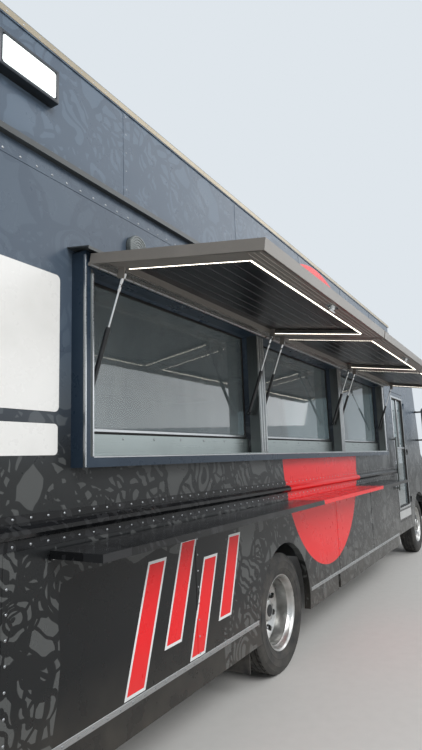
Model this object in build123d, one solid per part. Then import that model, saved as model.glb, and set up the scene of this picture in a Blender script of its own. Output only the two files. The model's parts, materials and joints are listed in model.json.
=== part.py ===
from build123d import *
from math import atan2, cos, degrees, pi, radians, sin
import os

# The truck is drawn about its own centreline: X forward, Y to the left, Z up from the road.
# Every size is in millimetres.

# Overall layout
half_width = 1220
wheelbase = 5280
rear_overhang = 2900
front_overhang = 780
rear_axle_x = -1550
bumper_depth = 90
step_depth = 150
wall = 50
sheet = 40
corner_radius = 38
rim_out = 6

# Heights above the road
wall_bottom_z = 450
skirt_bottom_z = 330
skirt_gap = 60
floor_z = 750
floor_thick = 40
header_base_z = 2785
header_top_z = 3320

# Serving windows
bay_count = 3
bay_pitch = 1760
frame_setback = 2140
frame_bottom_z = 1488
sill_z = 1530
glass_bottom_z = 1630
bay_top_z = 2330
frame_top_z = 2400
frame_depth = 80
jamb_width = 30
liner_width = 20
pillar_width = 110
glass_thick = 8

# Hatches and their gas struts
hatch_hinge_z = 2340
hatch_gap = 10
hatch_length = 820
hatch_thick = 45
hatch_rim = 100
hatch_recess = 30
hatch_spacing = 20
hatch_droop = 9.0
hinge_radius = 8
hinge_clearance = 0.3
strut_reach = 120
strut_drop = 34
strut_foot_z = 1800
strut_foot_out = 16
strut_inset = 45
strut_tube_radius = 11
strut_rod_radius = 5
strut_tube_length = 290
eye_radius = 12
eye_width = 16
pin_radius = 5
running_fit = 0.06

# Customer shelf
shelf_top_z = 1185
shelf_depth = 280
shelf_thick = 30
shelf_out = 15
shelf_lead = 120

# Rub rail
rail_top_z = 1328
rail_bottom_z = 1205
rail_flange = 5
bulge_top_z = 1300
bulge_bottom_z = 1240
bulge_depth = 42

# Drip cap over the serving windows
cap_reach = 125
cap_thick = 5
cap_lip = 14

# Wheels and axles
tyre_radius = 405
tyre_width = 222
rim_radius = 248
wheel_inset = 50
rim_tuck = 22
barrel_thick = 18
bulge_radius = 320
shoulder_radius = 376
wheel_sides = 20
twin_spacing = 267
twin_disc = 70
front_disc = 38
disc_thick = 12
hub_radius = 105
hub_reach = 165
hand_hole_count = 8
hand_hole_ring = 162
hand_hole_radius = 24
hand_hole_sides = 6
hub_sides = 12
front_cap_radius = 62
rear_cap_radius = 70
axle_z = 405
arch_radius = 450
arch_z = 440
arch_sides = 32
front_arch_radius = 480
housing_back = 520
housing_ahead = 480
front_housing_back = 560
rear_housing_width = 620
front_housing_width = 590
housing_top_z = 905
well_depth = 330
bearer_count = 12
bearer_pitch = 600
cover_half = 360
cover_setback = 710
cover_lead = 290
cover_top_z = 1220
floor_lead = 450
spindle_radius = 30
rear_spindle_radius = 42
hub_clearance = 0.06
kingpin_tuck = 154
kingpin_radius = 20

# Chassis
rail_y = 432
rail_height = 200
rail_width = 70
rail_web = 8
rail_top = 680
spring_y = 482
spring_seat = 62
leaf_half_width = 35
leaf_thick = 14
leaf_count = 3
main_leaf_half = 620
leaf_step = 140
spring_lift = 28
hanger_half = 35
hanger_thick = 15
hanger_height = 130
beam_half = 35
beam_bottom = 90
beam_top = 20
fork_reach = 60
kingpin_length = 250
rear_member_setback = 1450
member_reach = 650
middle_member_lead = 2050
transfer_member_lead = 3350
engine_setback = 670
engine_lead = 230
engine_half = 300
engine_top_z = 1180
shaft_setback = 1080
tank_lead = 1800
tank_length = 1000
tank_width = 480
tank_bottom_z = 390
pipe_y = 562
pipe_z = 560
pipe_radius = 38
muffler_radius = 110
muffler_lead = 1850
muffler_length = 950
tail_lead = 750
pipe_setback = 1130

# Cab, with its places along the truck counted from the front axle
cab_edge_radius = 45
post_width = 50
cab_setback = 1580
raised_setback = 1180
door_setback = 1480
door_width = 820
door_bottom_z = 600
door_top_z = 2350
door_thick = 45
door_clearance = 6
door_hinge_out = 10
door_border = 75
door_kick = 170
hinge_inset = 200
knuckle_height = 40
knuckle_gap = 0.3
nose_bottom_z = 700
nose_bevel = 60
nose_rise = 70
cowl_lead = 500
cowl_z = 1500
roof_lead = 230
nose_drop = 170
brow_lead = 25
brow_drop = 130
brow_back = 60
screen_border = 120
screen_sill = 40
screen_share = 0.86
hood_border = 520
hood_hinge_inset = 770
hood_hinge_radius = 7
grille_border = 700
grille_bottom_z = 780
grille_top_z = 1180
grille_edge = 35
grille_bar_count = 6
grille_bar_thick = 16
lamp_inset = 140
lamp_width = 460
lamp_bottom_z = 860
lamp_top_z = 1110
front_trim_out = 12

# Mirrors, dash and driver's place
mirror_lead = 180
mirror_thick = 65
mirror_bottom_z = 1640
mirror_top_z = 2210
mirror_near = 110
mirror_far = 330
mirror_arm = 150
dash_lead = 270
dash_depth = 150
dash_bottom_z = 1250
dash_top_z = 1440
seat_gap = 20
steering_lead = 100
steering_z = 1415
steering_radius = 210
steering_lean = 55
seat_setback = 650
seat_depth = 480
seat_width = 480
seat_bottom_z = 1010
seat_top_z = 1150
seat_back_z = 1800

# Kitchen
counter_thick = 40
serving_top_z = 1625
serving_depth = 550
cooking_top_z = 1600
cooking_depth = 610
cooking_setback = 2050
cooking_lead = 2450
panel_thick = 30
hood_bottom_z = 2250
hood_lip_z = 2330
hood_top_z = 2620
hood_sheet = 20
fan_setback = 650
fan_y = 350
fan_drum_radius = 205
fan_cap_radius = 330
fan_sides = 12
fan_kerb_half = 250
fan_kerb_height = 90
fan_drum_height = 150
fan_eaves_height = 30
fan_crown_height = 65

# Lamps
flood_low = 230
flood_height = 150
flood_half = 150
flood_out = 45
flood_setback = 2420
flood_back = 380
tail_lamp_inset = 190
tail_lamp_radius = 52
tail_lamp_out = 30
tail_lamp_count = 3
tail_lamp_z = 1000
tail_lamp_pitch = 140
marker_inset = 320

# Bumpers
bumper_inset = 70
bumper_bottom_z = 450
bumper_top_z = 690
bumper_radius = 70
step_inset = 120
step_bottom_z = 400
step_top_z = 440

# Tow eyes under the rear step
tow_eye_radius = 20
tow_eye_back = 45
tow_eye_z = 360
tow_plate_y = 560
tow_plate_thick = 40
tow_plate_bottom_z = 320
tow_plate_out = 85
step_lap = 60

# Rear door
rear_door_half = 380
rear_door_top_z = 2450
rear_glass_border = 130
rear_glass_bottom_z = 1550
rear_glass_top_z = 2200

# Worked out from the sizes above
front_axle_x = rear_axle_x + wheelbase
rear_face_x = rear_axle_x - rear_overhang
nose_x = front_axle_x + front_overhang
frame_rear_x = rear_axle_x - frame_setback
frame_front_x = frame_rear_x + bay_count * bay_pitch
hinge_out = frame_depth + hatch_gap
tyre_centre_y = half_width - wheel_inset - tyre_width / 2
inner_tyre_y = tyre_centre_y - twin_spacing
kingpin_y = tyre_centre_y - kingpin_tuck
rear_housing_y = half_width - rear_housing_width
front_housing_y = half_width - front_housing_width
driver_y = cover_half + seat_gap + seat_width / 2
cover_rear_x = front_axle_x - cover_setback
cover_front_x = front_axle_x + cover_lead
floor_front_x = front_axle_x + floor_lead
cab_rear_x = front_axle_x - cab_setback
raised_front_x = front_axle_x - raised_setback
door_rear_x = front_axle_x - door_setback
door_front_x = door_rear_x + door_width
cowl_x = front_axle_x + cowl_lead
roof_front_x = front_axle_x + roof_lead


def block(x0, x1, y0, y1, z0, z1):
    """Box between two corners."""
    return Pos((x0 + x1) / 2, (y0 + y1) / 2, (z0 + z1) / 2) * Box(x1 - x0, y1 - y0, z1 - z0)


def side_sheet(points, y0, y1):
    """Sheet whose outline is drawn in side view, as (x, z) points, running from y0 to y1."""
    outline = Wire.make_polygon([Vector(x, y0, z) for x, z in points])
    return Solid.extrude(Face(outline), Vector(0, y1 - y0, 0))


def end_bar(points, x0, x1):
    """Bar whose section is drawn in end view, as (y, z) points, running from x0 to x1."""
    section = Wire.make_polygon([Vector(x0, y, z) for y, z in points])
    return Solid.extrude(Face(section), Vector(x1 - x0, 0, 0))


def cross_rod(x, z, radius, y0, y1):
    """Round rod across the truck."""
    return Pos(x, (y0 + y1) / 2, z) * Rot(90, 0, 0) * Cylinder(radius, abs(y1 - y0))


def long_rod(y, z, radius, x0, x1):
    """Round rod along the truck."""
    return Pos((x0 + x1) / 2, y, z) * Rot(0, 90, 0) * Cylinder(radius, abs(x1 - x0))


def drum(x, z, radius, sides, y0, y1):
    """Many-sided drum about an axle across the truck."""
    outline = Pos(x, max(y0, y1), z) * Rot(90, 0, 0) * RegularPolygon(radius, sides)
    return extrude(outline, abs(y1 - y0))


def shaft(y, z, radius, sides, x0, x1):
    """Many-sided shaft along the truck."""
    outline = Pos(x0, y, z) * Rot(0, 90, 0) * RegularPolygon(radius, sides)
    return extrude(outline, x1 - x0)


def post(x, y, radius, sides, z0, z1):
    """Many-sided upright post."""
    return extrude(Pos(x, y, z0) * RegularPolygon(radius, sides), z1 - z0)


def knuckle_barrel(x, y, z, is_round):
    """Hinge knuckle standing at z, truly round or eight-sided."""
    if is_round:
        return Pos(x, y, z + knuckle_height / 2) * Cylinder(hinge_radius, knuckle_height)
    return post(x, y, hinge_radius, 8, z, z + knuckle_height)


def hinge_heights(z0, z1):
    """Feet of the three hinges of a door between two heights."""
    return z0 + hinge_inset, (z0 + z1) / 2, z1 - hinge_inset


def spun(profile, x, z, sides):
    """Many-sided ring about an axle across the truck, from closed (radius, y) points."""
    step = 2 * pi / sides

    def corner(point, turn):
        reach = point[0] / cos(step / 2)
        angle = (turn + 0.5) * step
        return Vector(x + reach * sin(angle), point[1], z - reach * cos(angle))

    faces = []
    for number, start in enumerate(profile):
        end = profile[(number + 1) % len(profile)]
        for turn in range(sides):
            ring = [corner(start, turn), corner(end, turn), corner(end, turn + 1), corner(start, turn + 1)]
            faces.append(Face(Wire.make_polygon(ring)))
    body = Solid(Shell(faces)).clean()
    return body if body.volume > 0 else Solid(Shell([-face for face in faces])).clean()


def fused(pieces):
    """One solid from pieces that share faces."""
    body = pieces[0]
    for piece in pieces[1:]:
        body = body + piece
    return body


def group(pieces):
    """Several solids kept apart in one node."""
    solids = []
    for piece in pieces:
        solids.extend(piece.solids())
    return Compound(solids)


# Window bays as (x0, x1) clear widths between the stainless pillars
def bay_spans():
    """Clear span of each serving window."""
    spans = []
    for bay in range(bay_count):
        start = frame_rear_x + bay * bay_pitch
        if bay == 0:
            start += jamb_width + liner_width
        spans.append((start, frame_rear_x + (bay + 1) * bay_pitch - pillar_width))
    return spans


def hatch_span(bay):
    """Length of a hatch along the truck."""
    start = frame_rear_x + bay * bay_pitch
    return start + hatch_spacing / 2, start + bay_pitch - hatch_spacing / 2


# Chassis
def chassis_rails():
    """The two channel rails of the chassis."""
    pieces = []
    x0, x1 = rear_face_x + 60, nose_x
    z0, z1 = rail_top - rail_height, rail_top
    for side in (-1, 1):
        outer = side * rail_y
        inner = side * (rail_y - rail_width)
        web = side * (rail_y - rail_web)
        channel = [
            (outer, z0), (inner, z0), (inner, z0 + rail_web), (web, z0 + rail_web),
            (web, z1 - rail_web), (inner, z1 - rail_web), (inner, z1), (outer, z1),
        ]
        pieces.append(end_bar(channel, x0, x1))
    return group(pieces)


def cross_members():
    """Cross members between the rails, two of them under the engine."""
    web_y = rail_y - rail_web
    z0, z1 = rail_top - rail_height + 40, rail_top - 40
    places = [rear_face_x + 160]
    leads = [-rear_member_setback, -member_reach, member_reach, middle_member_lead, transfer_member_lead]
    for lead in leads:
        places.append(rear_axle_x + lead)
    for lead in (-480, 70, 570):
        places.append(front_axle_x + lead)
    return group([block(x - 30, x + 30, -web_y, web_y, z0, z1) for x in places])


def leaf_pack(axle_x, side):
    """One leaf spring with its eyes hung from the rail."""
    y0, y1 = sorted((side * (spring_y - leaf_half_width), side * (spring_y + leaf_half_width)))
    seat = axle_z + spring_seat
    pieces = []
    for number in range(leaf_count):
        half = main_leaf_half - number * leaf_step
        z = seat + spring_lift - number * leaf_thick
        pieces.append(block(axle_x - half, axle_x + half, y0, y1, z, z + leaf_thick))
    hanger_y = sorted((side * rail_y, side * (rail_y + hanger_thick)))
    for end in (-1, 1):
        x = axle_x + end * main_leaf_half
        pieces.append(block(x - 28, x + 28, y0, y1, seat + 20, seat + 66))
        pieces.append(block(x - hanger_half, x + hanger_half, *hanger_y, seat + 20, seat + hanger_height))
    return fused(pieces)


def front_axle():
    """Forged beam with kingpins, on its two leaf springs."""
    seat = axle_z + spring_seat
    reach = kingpin_y - fork_reach
    x0, x1 = front_axle_x - beam_half, front_axle_x + beam_half
    pieces = [block(x0, x1, -reach, reach, axle_z - beam_bottom, axle_z - beam_top)]
    for side in (-1, 1):
        y = side * kingpin_y
        pieces.append(post(front_axle_x, y, 42, 8, axle_z - 60, axle_z + 50))
        pieces.append(Pos(front_axle_x, y, axle_z - 5) * Cylinder(kingpin_radius, kingpin_length))
        y0, y1 = sorted((side * (kingpin_y - 90), side * (kingpin_y - 20)))
        pieces.append(block(front_axle_x - 30, front_axle_x + 30, y0, y1, axle_z - 60, axle_z + 45))
        y0, y1 = sorted((side * (spring_y - 45), side * (spring_y + 45)))
        pieces.append(block(front_axle_x - 60, front_axle_x + 60, y0, y1, axle_z - 22, seat))
    return fused(pieces)


def leaf_springs():
    """The four leaf springs."""
    return group([leaf_pack(x, side) for x in (front_axle_x, rear_axle_x) for side in (-1, 1)])


def rear_axle():
    """Tube axle with its differential and drive shaft, on its two leaf springs."""
    seat = axle_z + spring_seat
    pieces = [drum(rear_axle_x, axle_z, 58, 12, -inner_tyre_y + 190, inner_tyre_y - 190)]
    pieces.append(drum(rear_axle_x + 10, axle_z, 165, 16, -105, 105))
    pieces.append(shaft(0, axle_z + 20, 75, 10, rear_axle_x + 100, rear_axle_x + 300))
    pieces.append(shaft(0, axle_z + 20, 45, 8, rear_axle_x + 290, front_axle_x - shaft_setback))
    for side in (-1, 1):
        end = side * (tyre_centre_y - twin_spacing / 2 + hub_reach - 25)
        pieces.append(cross_rod(rear_axle_x, axle_z, rear_spindle_radius, side * (inner_tyre_y - 200), end))
        y0, y1 = sorted((side * (spring_y - 45), side * (spring_y + 45)))
        pieces.append(block(rear_axle_x - 60, rear_axle_x + 60, y0, y1, axle_z + 20, seat))
    return fused(pieces)


def knuckle(side):
    """Steering knuckle: a fork on the kingpin and the spindle that carries the wheel."""
    y = side * kingpin_y
    pieces = []
    for z0, z1 in ((axle_z - 125, axle_z - 60.3), (axle_z + 50.3, axle_z + 115)):
        pieces.append(post(front_axle_x, y, 45, 8, z0, z1))
        y0, y1 = sorted((y, side * (kingpin_y + 75)))
        pieces.append(block(front_axle_x - 40, front_axle_x + 40, y0, y1, z0, z1))
    y0, y1 = sorted((side * (kingpin_y + 45), side * (kingpin_y + 75)))
    pieces.append(block(front_axle_x - 45, front_axle_x + 45, y0, y1, axle_z - 125, axle_z + 115))
    end = side * (half_width - wheel_inset - 25)
    pieces.append(cross_rod(front_axle_x, axle_z, spindle_radius, side * (kingpin_y + 60), end))
    y0, y1 = sorted((y, side * (kingpin_y - 30)))
    pieces.append(block(front_axle_x - 190, front_axle_x - 20, y0, y1, axle_z - 125, axle_z - 103))
    body = fused(pieces)
    hole_radius = kingpin_radius + running_fit
    lower_hole = Pos(front_axle_x, y, axle_z - 100) * Cylinder(hole_radius, 200)
    upper_hole = post(front_axle_x, y, hole_radius / cos(pi / 12), 12, axle_z + 40, axle_z + 130)
    return body - lower_hole - upper_hole


def tyre(x, y):
    """One tyre about the axle at x, with its middle plane at y."""
    half = tyre_width / 2
    bead = half - rim_tuck
    profile = [
        (rim_radius, -bead), (bulge_radius, -half), (shoulder_radius, -half + 10), (tyre_radius, -half + 42),
        (tyre_radius, half - 42), (shoulder_radius, half - 10), (bulge_radius, half), (rim_radius, bead),
    ]
    return spun([(r, y + offset) for r, offset in profile], x, axle_z, wheel_sides)


def plain_wheel(x, y, side, disc):
    """Barrel, lips and flat disc of a wheel."""
    edge = tyre_width / 2 - rim_tuck
    barrel = rim_radius - barrel_thick
    inner = hub_radius - 15
    profile = [
        (inner, disc), (inner, disc + disc_thick), (barrel, disc + disc_thick), (barrel, edge),
        (rim_radius, edge), (rim_radius, -edge), (barrel, -edge), (barrel, disc),
    ]
    return spun([(r, y + side * offset) for r, offset in profile], x, axle_z, wheel_sides)


def wheel_disc(x, y, side, disc):
    """One wheel with the ring of hand holes in its disc."""
    body = plain_wheel(x, y, side, disc)
    for hole in range(hand_hole_count):
        angle = 2 * pi * (hole + 0.5) / hand_hole_count
        hx = x + hand_hole_ring * cos(angle)
        hz = axle_z + hand_hole_ring * sin(angle)
        y0 = y + side * (disc - 5)
        y1 = y + side * (disc + disc_thick + 5)
        body = body - drum(hx, hz, hand_hole_radius, hand_hole_sides, y0, y1)
    return body


def front_wheel(side):
    """Front wheel with its stepped hub."""
    y = side * tyre_centre_y
    wheel = wheel_disc(front_axle_x, y, side, front_disc)
    near, far = y + side * (front_disc - 45), y + side * (front_disc + 45)
    hub = drum(front_axle_x, axle_z, hub_radius, hub_sides, near, far)
    cap = drum(front_axle_x, axle_z, front_cap_radius, 10, far, far + side * 27)
    reach = front_disc + 55
    bore = cross_rod(front_axle_x, axle_z, spindle_radius + hub_clearance, y - side * 130, y + side * reach)
    return wheel + hub + cap - bore


def rear_wheels(side):
    """Outer wheel with its hand holes and plain inner wheel on one hub, with both discs in the gap between them."""
    outer = wheel_disc(rear_axle_x, side * tyre_centre_y, -side, twin_disc)
    inner = plain_wheel(rear_axle_x, side * inner_tyre_y, side, twin_disc)
    half_gap = twin_spacing / 2 - twin_disc
    centre = side * (tyre_centre_y - twin_spacing / 2)
    near, far = centre - side * half_gap, centre + side * half_gap
    hub = drum(rear_axle_x, axle_z, hub_radius, hub_sides, near, far)
    cap = drum(rear_axle_x, axle_z, rear_cap_radius, 10, far, centre + side * hub_reach)
    near, far = centre - side * 100, centre + side * (hub_reach - 15)
    bore = cross_rod(rear_axle_x, axle_z, rear_spindle_radius + hub_clearance, near, far)
    return outer + inner + hub + cap - bore


def engine_block():
    """Engine as one plain mass between the rails, behind the front axle."""
    x0, x1 = front_axle_x - engine_setback, front_axle_x + engine_lead
    return block(x0, x1, -engine_half, engine_half, rail_top - 40, engine_top_z)


def fuel_tank():
    """Rounded tank hung outside the left rail."""
    x0 = rear_axle_x + tank_lead
    tank = block(x0, x0 + tank_length, rail_y, rail_y + tank_width, tank_bottom_z, rail_top)
    return fillet(tank.edges().filter_by(Axis.X), 60)


def exhaust():
    """Muffler and tail pipe along the right rail."""
    y = -pipe_y
    x0 = rear_axle_x + muffler_lead
    x1 = x0 + muffler_length
    tail_x, pipe_x = rear_axle_x + tail_lead, front_axle_x - pipe_setback
    muffler = shaft(y, pipe_z, muffler_radius, 12, x0, x1)
    front = shaft(y, pipe_z, pipe_radius, 8, x1 - 10, pipe_x)
    tail = shaft(y, pipe_z, pipe_radius, 8, tail_x, x0 + 10)
    pieces = [muffler, front, tail]
    for x in (tail_x + 100, x0 + 150, x1 - 150, pipe_x - 100):
        pieces.append(block(x - 15, x + 15, y - 20, y + 20, pipe_z, floor_z - floor_thick))
    return fused(pieces)


# Body
def housing_spans():
    """Wheel housings as (x0, x1, distance of the inner face from the centreline)."""
    return (
        (rear_axle_x - housing_back, rear_axle_x + housing_ahead, rear_housing_y),
        (front_axle_x - front_housing_back, floor_front_x, front_housing_y),
    )


def floor_deck():
    """Floor sheet on its cross bearers, cut out for the wheel housings, the step wells and the engine."""
    inner = half_width - wall
    z0, z1 = floor_z - floor_thick, floor_z
    body = block(rear_face_x + wall, floor_front_x, -inner, inner, z0, z1)
    for number in range(bearer_count):
        x = rear_face_x + 250 + bearer_pitch * number
        if abs(x - rear_axle_x) > housing_back + 40:
            body = body + block(x - 25, x + 25, -inner + 20, inner - 20, rail_top, z0)
    for side in (-1, 1):
        for x0, x1, y_in in housing_spans():
            y0, y1 = sorted((side * y_in, side * (inner + 1)))
            body = body - block(x0, x1 + 1, y0, y1, rail_top - 1, z1 + 1)
        well = sorted((side * (inner - well_depth), side * (inner + 1)))
        body = body - block(door_rear_x, door_front_x, *well, rail_top - 1, z1 + 1)
    return body - block(cover_rear_x, cover_front_x, -cover_half, cover_half, z0 - 1, z1 + 1)


def wheel_housings():
    """Boxes over the wheels, the engine's cover and the step wells by the cab doors."""
    inner = half_width - wall
    z0 = floor_z - floor_thick
    pieces = []
    for side in (-1, 1):
        for x0, x1, y_in in housing_spans():
            outside = block(x0, x1, *sorted((side * y_in, side * inner)), z0, housing_top_z)
            inside = sorted((side * (y_in + 15), side * (inner + 1)))
            pieces.append(outside - block(x0 + 15, x1 - 15, *inside, z0 - 1, housing_top_z - 15))
        tray = sorted((side * (inner - well_depth), side * inner))
        hole = sorted((side * (inner - well_depth + 12), side * (inner + 1)))
        well = block(door_rear_x, door_front_x, *tray, door_bottom_z - 50, floor_z)
        foot_room = block(door_rear_x + 12, door_front_x - 12, *hole, door_bottom_z - 38, floor_z + 1)
        pieces.append(well - foot_room)
    cover = block(cover_rear_x, cover_front_x, -cover_half, cover_half, z0, cover_top_z)
    room_half = cover_half - 15
    room = block(cover_rear_x + 15, cover_front_x - 15, -room_half, room_half, z0 - 1, cover_top_z - 15)
    pieces.append(cover - room)
    return group(pieces)


def wheel_arch(x, radius, z):
    """Cutter for a wheel arch: round above, straight sides down to the road."""
    width = 2 * half_width + 400
    round_part = drum(x, z, radius, arch_sides, -width / 2, width / 2)
    return round_part + block(x - radius + 25, x + radius - 25, -width / 2, width / 2, -10, z)


def side_wall(side):
    """Body side from the rear corner to the cab, down to the skirts."""
    y0, y1 = sorted((side * (half_width - wall), side * half_width))
    body = block(rear_face_x, cab_rear_x, y0, y1, skirt_bottom_z, header_base_z)
    corner = body.edges().filter_by(Axis.Z).group_by(Axis.X)[0].group_by(Axis.Y)
    body = fillet(corner[0] if side < 0 else corner[-1], corner_radius)
    body = body - wheel_arch(rear_axle_x - 20, arch_radius, arch_z)
    gap = rear_axle_x + 1130
    body = body - block(gap, gap + skirt_gap, y0 - 1, y1 + 1, skirt_bottom_z - 1, wall_bottom_z)
    if side < 0:
        for x0, x1 in bay_spans():
            body = body - block(x0, x1, y0 - 10, y1 + 10, sill_z, bay_top_z)
        x0, x1 = shelf_span()
        leaf = shelf_out - hinge_radius - hinge_clearance
        z = shelf_axis_z()
        body = body + block(x0, x1, -half_width - leaf, -half_width, z - 15, z + 15)
    return body


def rear_wall():
    """Rear wall with the doorway."""
    inner = half_width - wall
    body = block(rear_face_x, rear_face_x + wall, -inner, inner, rail_top + 5, header_base_z)
    body = body - block(
        rear_face_x - 10, rear_face_x + wall + 10, -rear_door_half, rear_door_half, floor_z, rear_door_top_z
    )
    axis_x = rear_face_x - door_hinge_out
    for number, foot in enumerate(hinge_heights(floor_z, rear_door_top_z)):
        z = foot + knuckle_height + knuckle_gap
        body = body + knuckle_barrel(axis_x, rear_door_half, z, number == 0)
        top = z + knuckle_height
        body = body + block(axis_x, rear_face_x + 1, rear_door_half, rear_door_half + 40, z, top)
    return body


def roof_shell():
    """Raised header box with its top sheet, over the body and the rear of the cab."""
    body = block(rear_face_x, raised_front_x, -half_width, half_width, header_base_z, header_top_z)
    body = chamfer(body.edges().filter_by(Axis.Z).group_by(Axis.X)[-1], 60)
    body = fillet(body.edges().filter_by(Axis.Z).group_by(Axis.X)[0], corner_radius)
    hollow = block(
        rear_face_x + sheet, raised_front_x - 90, -half_width + sheet, half_width - sheet,
        header_base_z - 1, header_top_z - sheet,
    )
    body = body - hollow
    rim_half = half_width + rim_out
    rim = block(rear_face_x, raised_front_x + rim_out, -rim_half, rim_half, header_top_z - 40, header_top_z)
    rim = chamfer(rim.edges().filter_by(Axis.Z).group_by(Axis.X)[-1], 62)
    x0, x1 = rear_face_x + sheet, raised_front_x - 90
    inner = half_width - sheet
    core = block(x0, x1, -inner, inner, header_top_z - 41, header_top_z + 1)
    body = body + (rim - core)
    return body + block(cab_rear_x, x1, -inner, inner, header_base_z, header_base_z + 15)


def rain_gutters():
    """Gutter along each side and the folded drip cap over the serving windows."""
    pieces = []
    for side in (-1, 1):
        y = side * half_width
        lip = side * (half_width + 28)
        section = [
            (y, header_base_z - 14), (lip, header_base_z - 14), (lip, header_base_z + 12),
            (side * (half_width + 24), header_base_z + 12), (side * (half_width + 24), header_base_z - 10),
            (y, header_base_z - 10),
        ]
        pieces.append(end_bar(section, rear_face_x, raised_front_x))
    y = -half_width
    out = -half_width - cap_reach
    cap = [
        (y, frame_top_z + 22), (out, frame_top_z + 2), (out, frame_top_z + 2 - cap_lip),
        (out + cap_thick, frame_top_z + 2 - cap_lip), (out + cap_thick, frame_top_z + 2 - cap_thick),
        (y, frame_top_z + 22 - cap_thick),
    ]
    pieces.append(end_bar(cap, frame_rear_x - 30, frame_front_x + 30))
    return group(pieces)


def rub_rails():
    """Riveted rub rail along each side: a flat flange and a rounded bulge."""
    pieces = []
    z0, z1 = bulge_bottom_z, bulge_top_z
    for side in (-1, 1):
        y = side * half_width
        flange = side * (half_width + rail_flange)
        crown = side * (half_width + bulge_depth)
        shoulder = side * (half_width + bulge_depth - 12)
        section = [
            (y, rail_bottom_z), (flange, rail_bottom_z), (flange, z0), (shoulder, z0 + 8), (crown, z0 + 22),
            (crown, z1 - 22), (shoulder, z1 - 8), (flange, z1), (flange, rail_top_z), (y, rail_top_z),
        ]
        pieces.append(end_bar(section, rear_face_x, cab_rear_x))
    return group(pieces)


def mud_flaps():
    """Rubber flaps behind the rear wheels."""
    pieces = []
    x = rear_axle_x - housing_back
    for side in (-1, 1):
        y0, y1 = sorted((side * (rear_housing_y + 40), side * (half_width - 60)))
        pieces.append(block(x - 8, x, y0, y1, 160, floor_z - floor_thick))
    return group(pieces)


# Cab
def cab_outline(inset):
    """Side outline of the cab, moved in by a wall's thickness."""
    top = header_base_z - inset
    nose_z = cowl_z - nose_drop - inset
    return [
        (cab_rear_x, wall_bottom_z), (nose_x - inset, wall_bottom_z), (nose_x - inset, nose_z),
        (nose_x - nose_bevel - inset, nose_z + nose_rise), (cowl_x - inset, cowl_z - inset * 0.4),
        (roof_front_x + brow_lead - inset, header_base_z - brow_drop),
        (roof_front_x - brow_back - inset, top), (cab_rear_x, top),
    ]


def windshield_corners(inset):
    """Lower and upper edge of the windshield opening, on the raked front."""
    low = Vector(cowl_x - inset, 0, cowl_z + screen_sill)
    rake = Vector(roof_front_x + brow_lead - cowl_x, 0, header_base_z - brow_drop - cowl_z)
    return low, low + rake * screen_share


def rounded_cab_edge(edge):
    """True for the edges of the cab's nose, front and roof where they meet its sides."""
    middle = edge.center()
    along_side = abs(abs(middle.Y) - half_width) < 1
    return along_side and middle.Z > wall_bottom_z + 1 and middle.X > cab_rear_x + 1


def cab_room():
    """Cutters that hollow the cab and leave it open below and to the rear."""
    inner = half_width - wall
    low = wall_bottom_z - 50
    return [
        side_sheet(cab_outline(wall), -inner, inner),
        block(cab_rear_x - 1, nose_x - wall, -inner, inner, low, grille_top_z + 20),
        block(cab_rear_x - 1, cab_rear_x + 60, -inner, inner, low, header_base_z - wall),
        block(nose_x - wall - 10, nose_x + 10, -half_width + 130, half_width - 130, low, nose_bottom_z),
    ]


def nose_cuts():
    """Cutters for the grille and the headlamps."""
    x0, x1 = nose_x - wall - 10, nose_x + 10
    half = half_width - grille_border
    cuts = [block(x0, x1, -half, half, grille_bottom_z, grille_top_z)]
    for side in (-1, 1):
        cuts.append(block(x0, x1, *headlamp_span(side), lamp_bottom_z, lamp_top_z))
    return cuts


def headlamp_span(side):
    """Ends of a headlamp across the truck."""
    outer = half_width - lamp_inset
    return sorted((side * (outer - lamp_width), side * outer))


def cab_shell():
    """Cab: roof, raked front, nose, door posts and front arches."""
    body = side_sheet(cab_outline(0), -half_width, half_width)
    ahead = body.edges().filter_by(GeomType.LINE).filter_by(lambda edge: rounded_cab_edge(edge))
    body = fillet(ahead, cab_edge_radius)
    for cutter in cab_room():
        body = body - cutter
    body = body - wheel_arch(front_axle_x, front_arch_radius, arch_z - 20)
    body = body - block(
        door_rear_x, door_front_x, -half_width - 10, half_width + 10, door_bottom_z, door_top_z
    )
    low, high = windshield_corners(0)
    edge = half_width - screen_border
    deep = 120
    slot = [(low.X - deep, low.Z), (low.X + deep, low.Z), (high.X + deep, high.Z), (high.X - deep, high.Z)]
    opening = side_sheet(slot, -edge, edge)
    posts = side_sheet(
        [(low.X - 45, low.Z - 60), (low.X, low.Z - 60), (high.X, high.Z + 20), (high.X - 45, high.Z + 20)],
        -post_width / 2, post_width / 2,
    )
    body = body - opening + posts
    body = body - hood_solid(4)
    for cutter in nose_cuts():
        body = body - cutter
    for side in (-1, 1):
        axis_y = side * (half_width + door_hinge_out)
        y0, y1 = sorted((side * (half_width - 5), axis_y))
        for number, foot in enumerate(hinge_heights(door_bottom_z, door_top_z)):
            z = foot + knuckle_height + knuckle_gap
            barrel = knuckle_barrel(door_axis_x(), axis_y, z, number == 0)
            body = body + barrel + block(door_axis_x(), door_front_x + 30, y0, y1, z, z + knuckle_height)
    x, z = hood_axis()
    for y in hood_hinge_places():
        y0, y1 = y + knuckle_height + knuckle_gap, y + 2 * knuckle_height
        body = body + hood_barrel(y0, y1) + block(x - 6, x + 4, y0, y1, z - 30, z)
    return body


def door_axis_x():
    """Line of the cab doors' hinges, just behind the front post."""
    return door_front_x + 6


def hood_slope():
    """Fall of the nose's top per millimetre forward."""
    return (nose_rise - nose_drop) / (nose_x - nose_bevel - cowl_x)


def nose_surface_z(x):
    """Height of the nose's sloping top."""
    return cowl_z + hood_slope() * (x - cowl_x)


def hood_axis():
    """Line of the hood's hinges, as (x, z)."""
    x = cowl_x + 20
    return x, nose_surface_z(x) + 9


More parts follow.
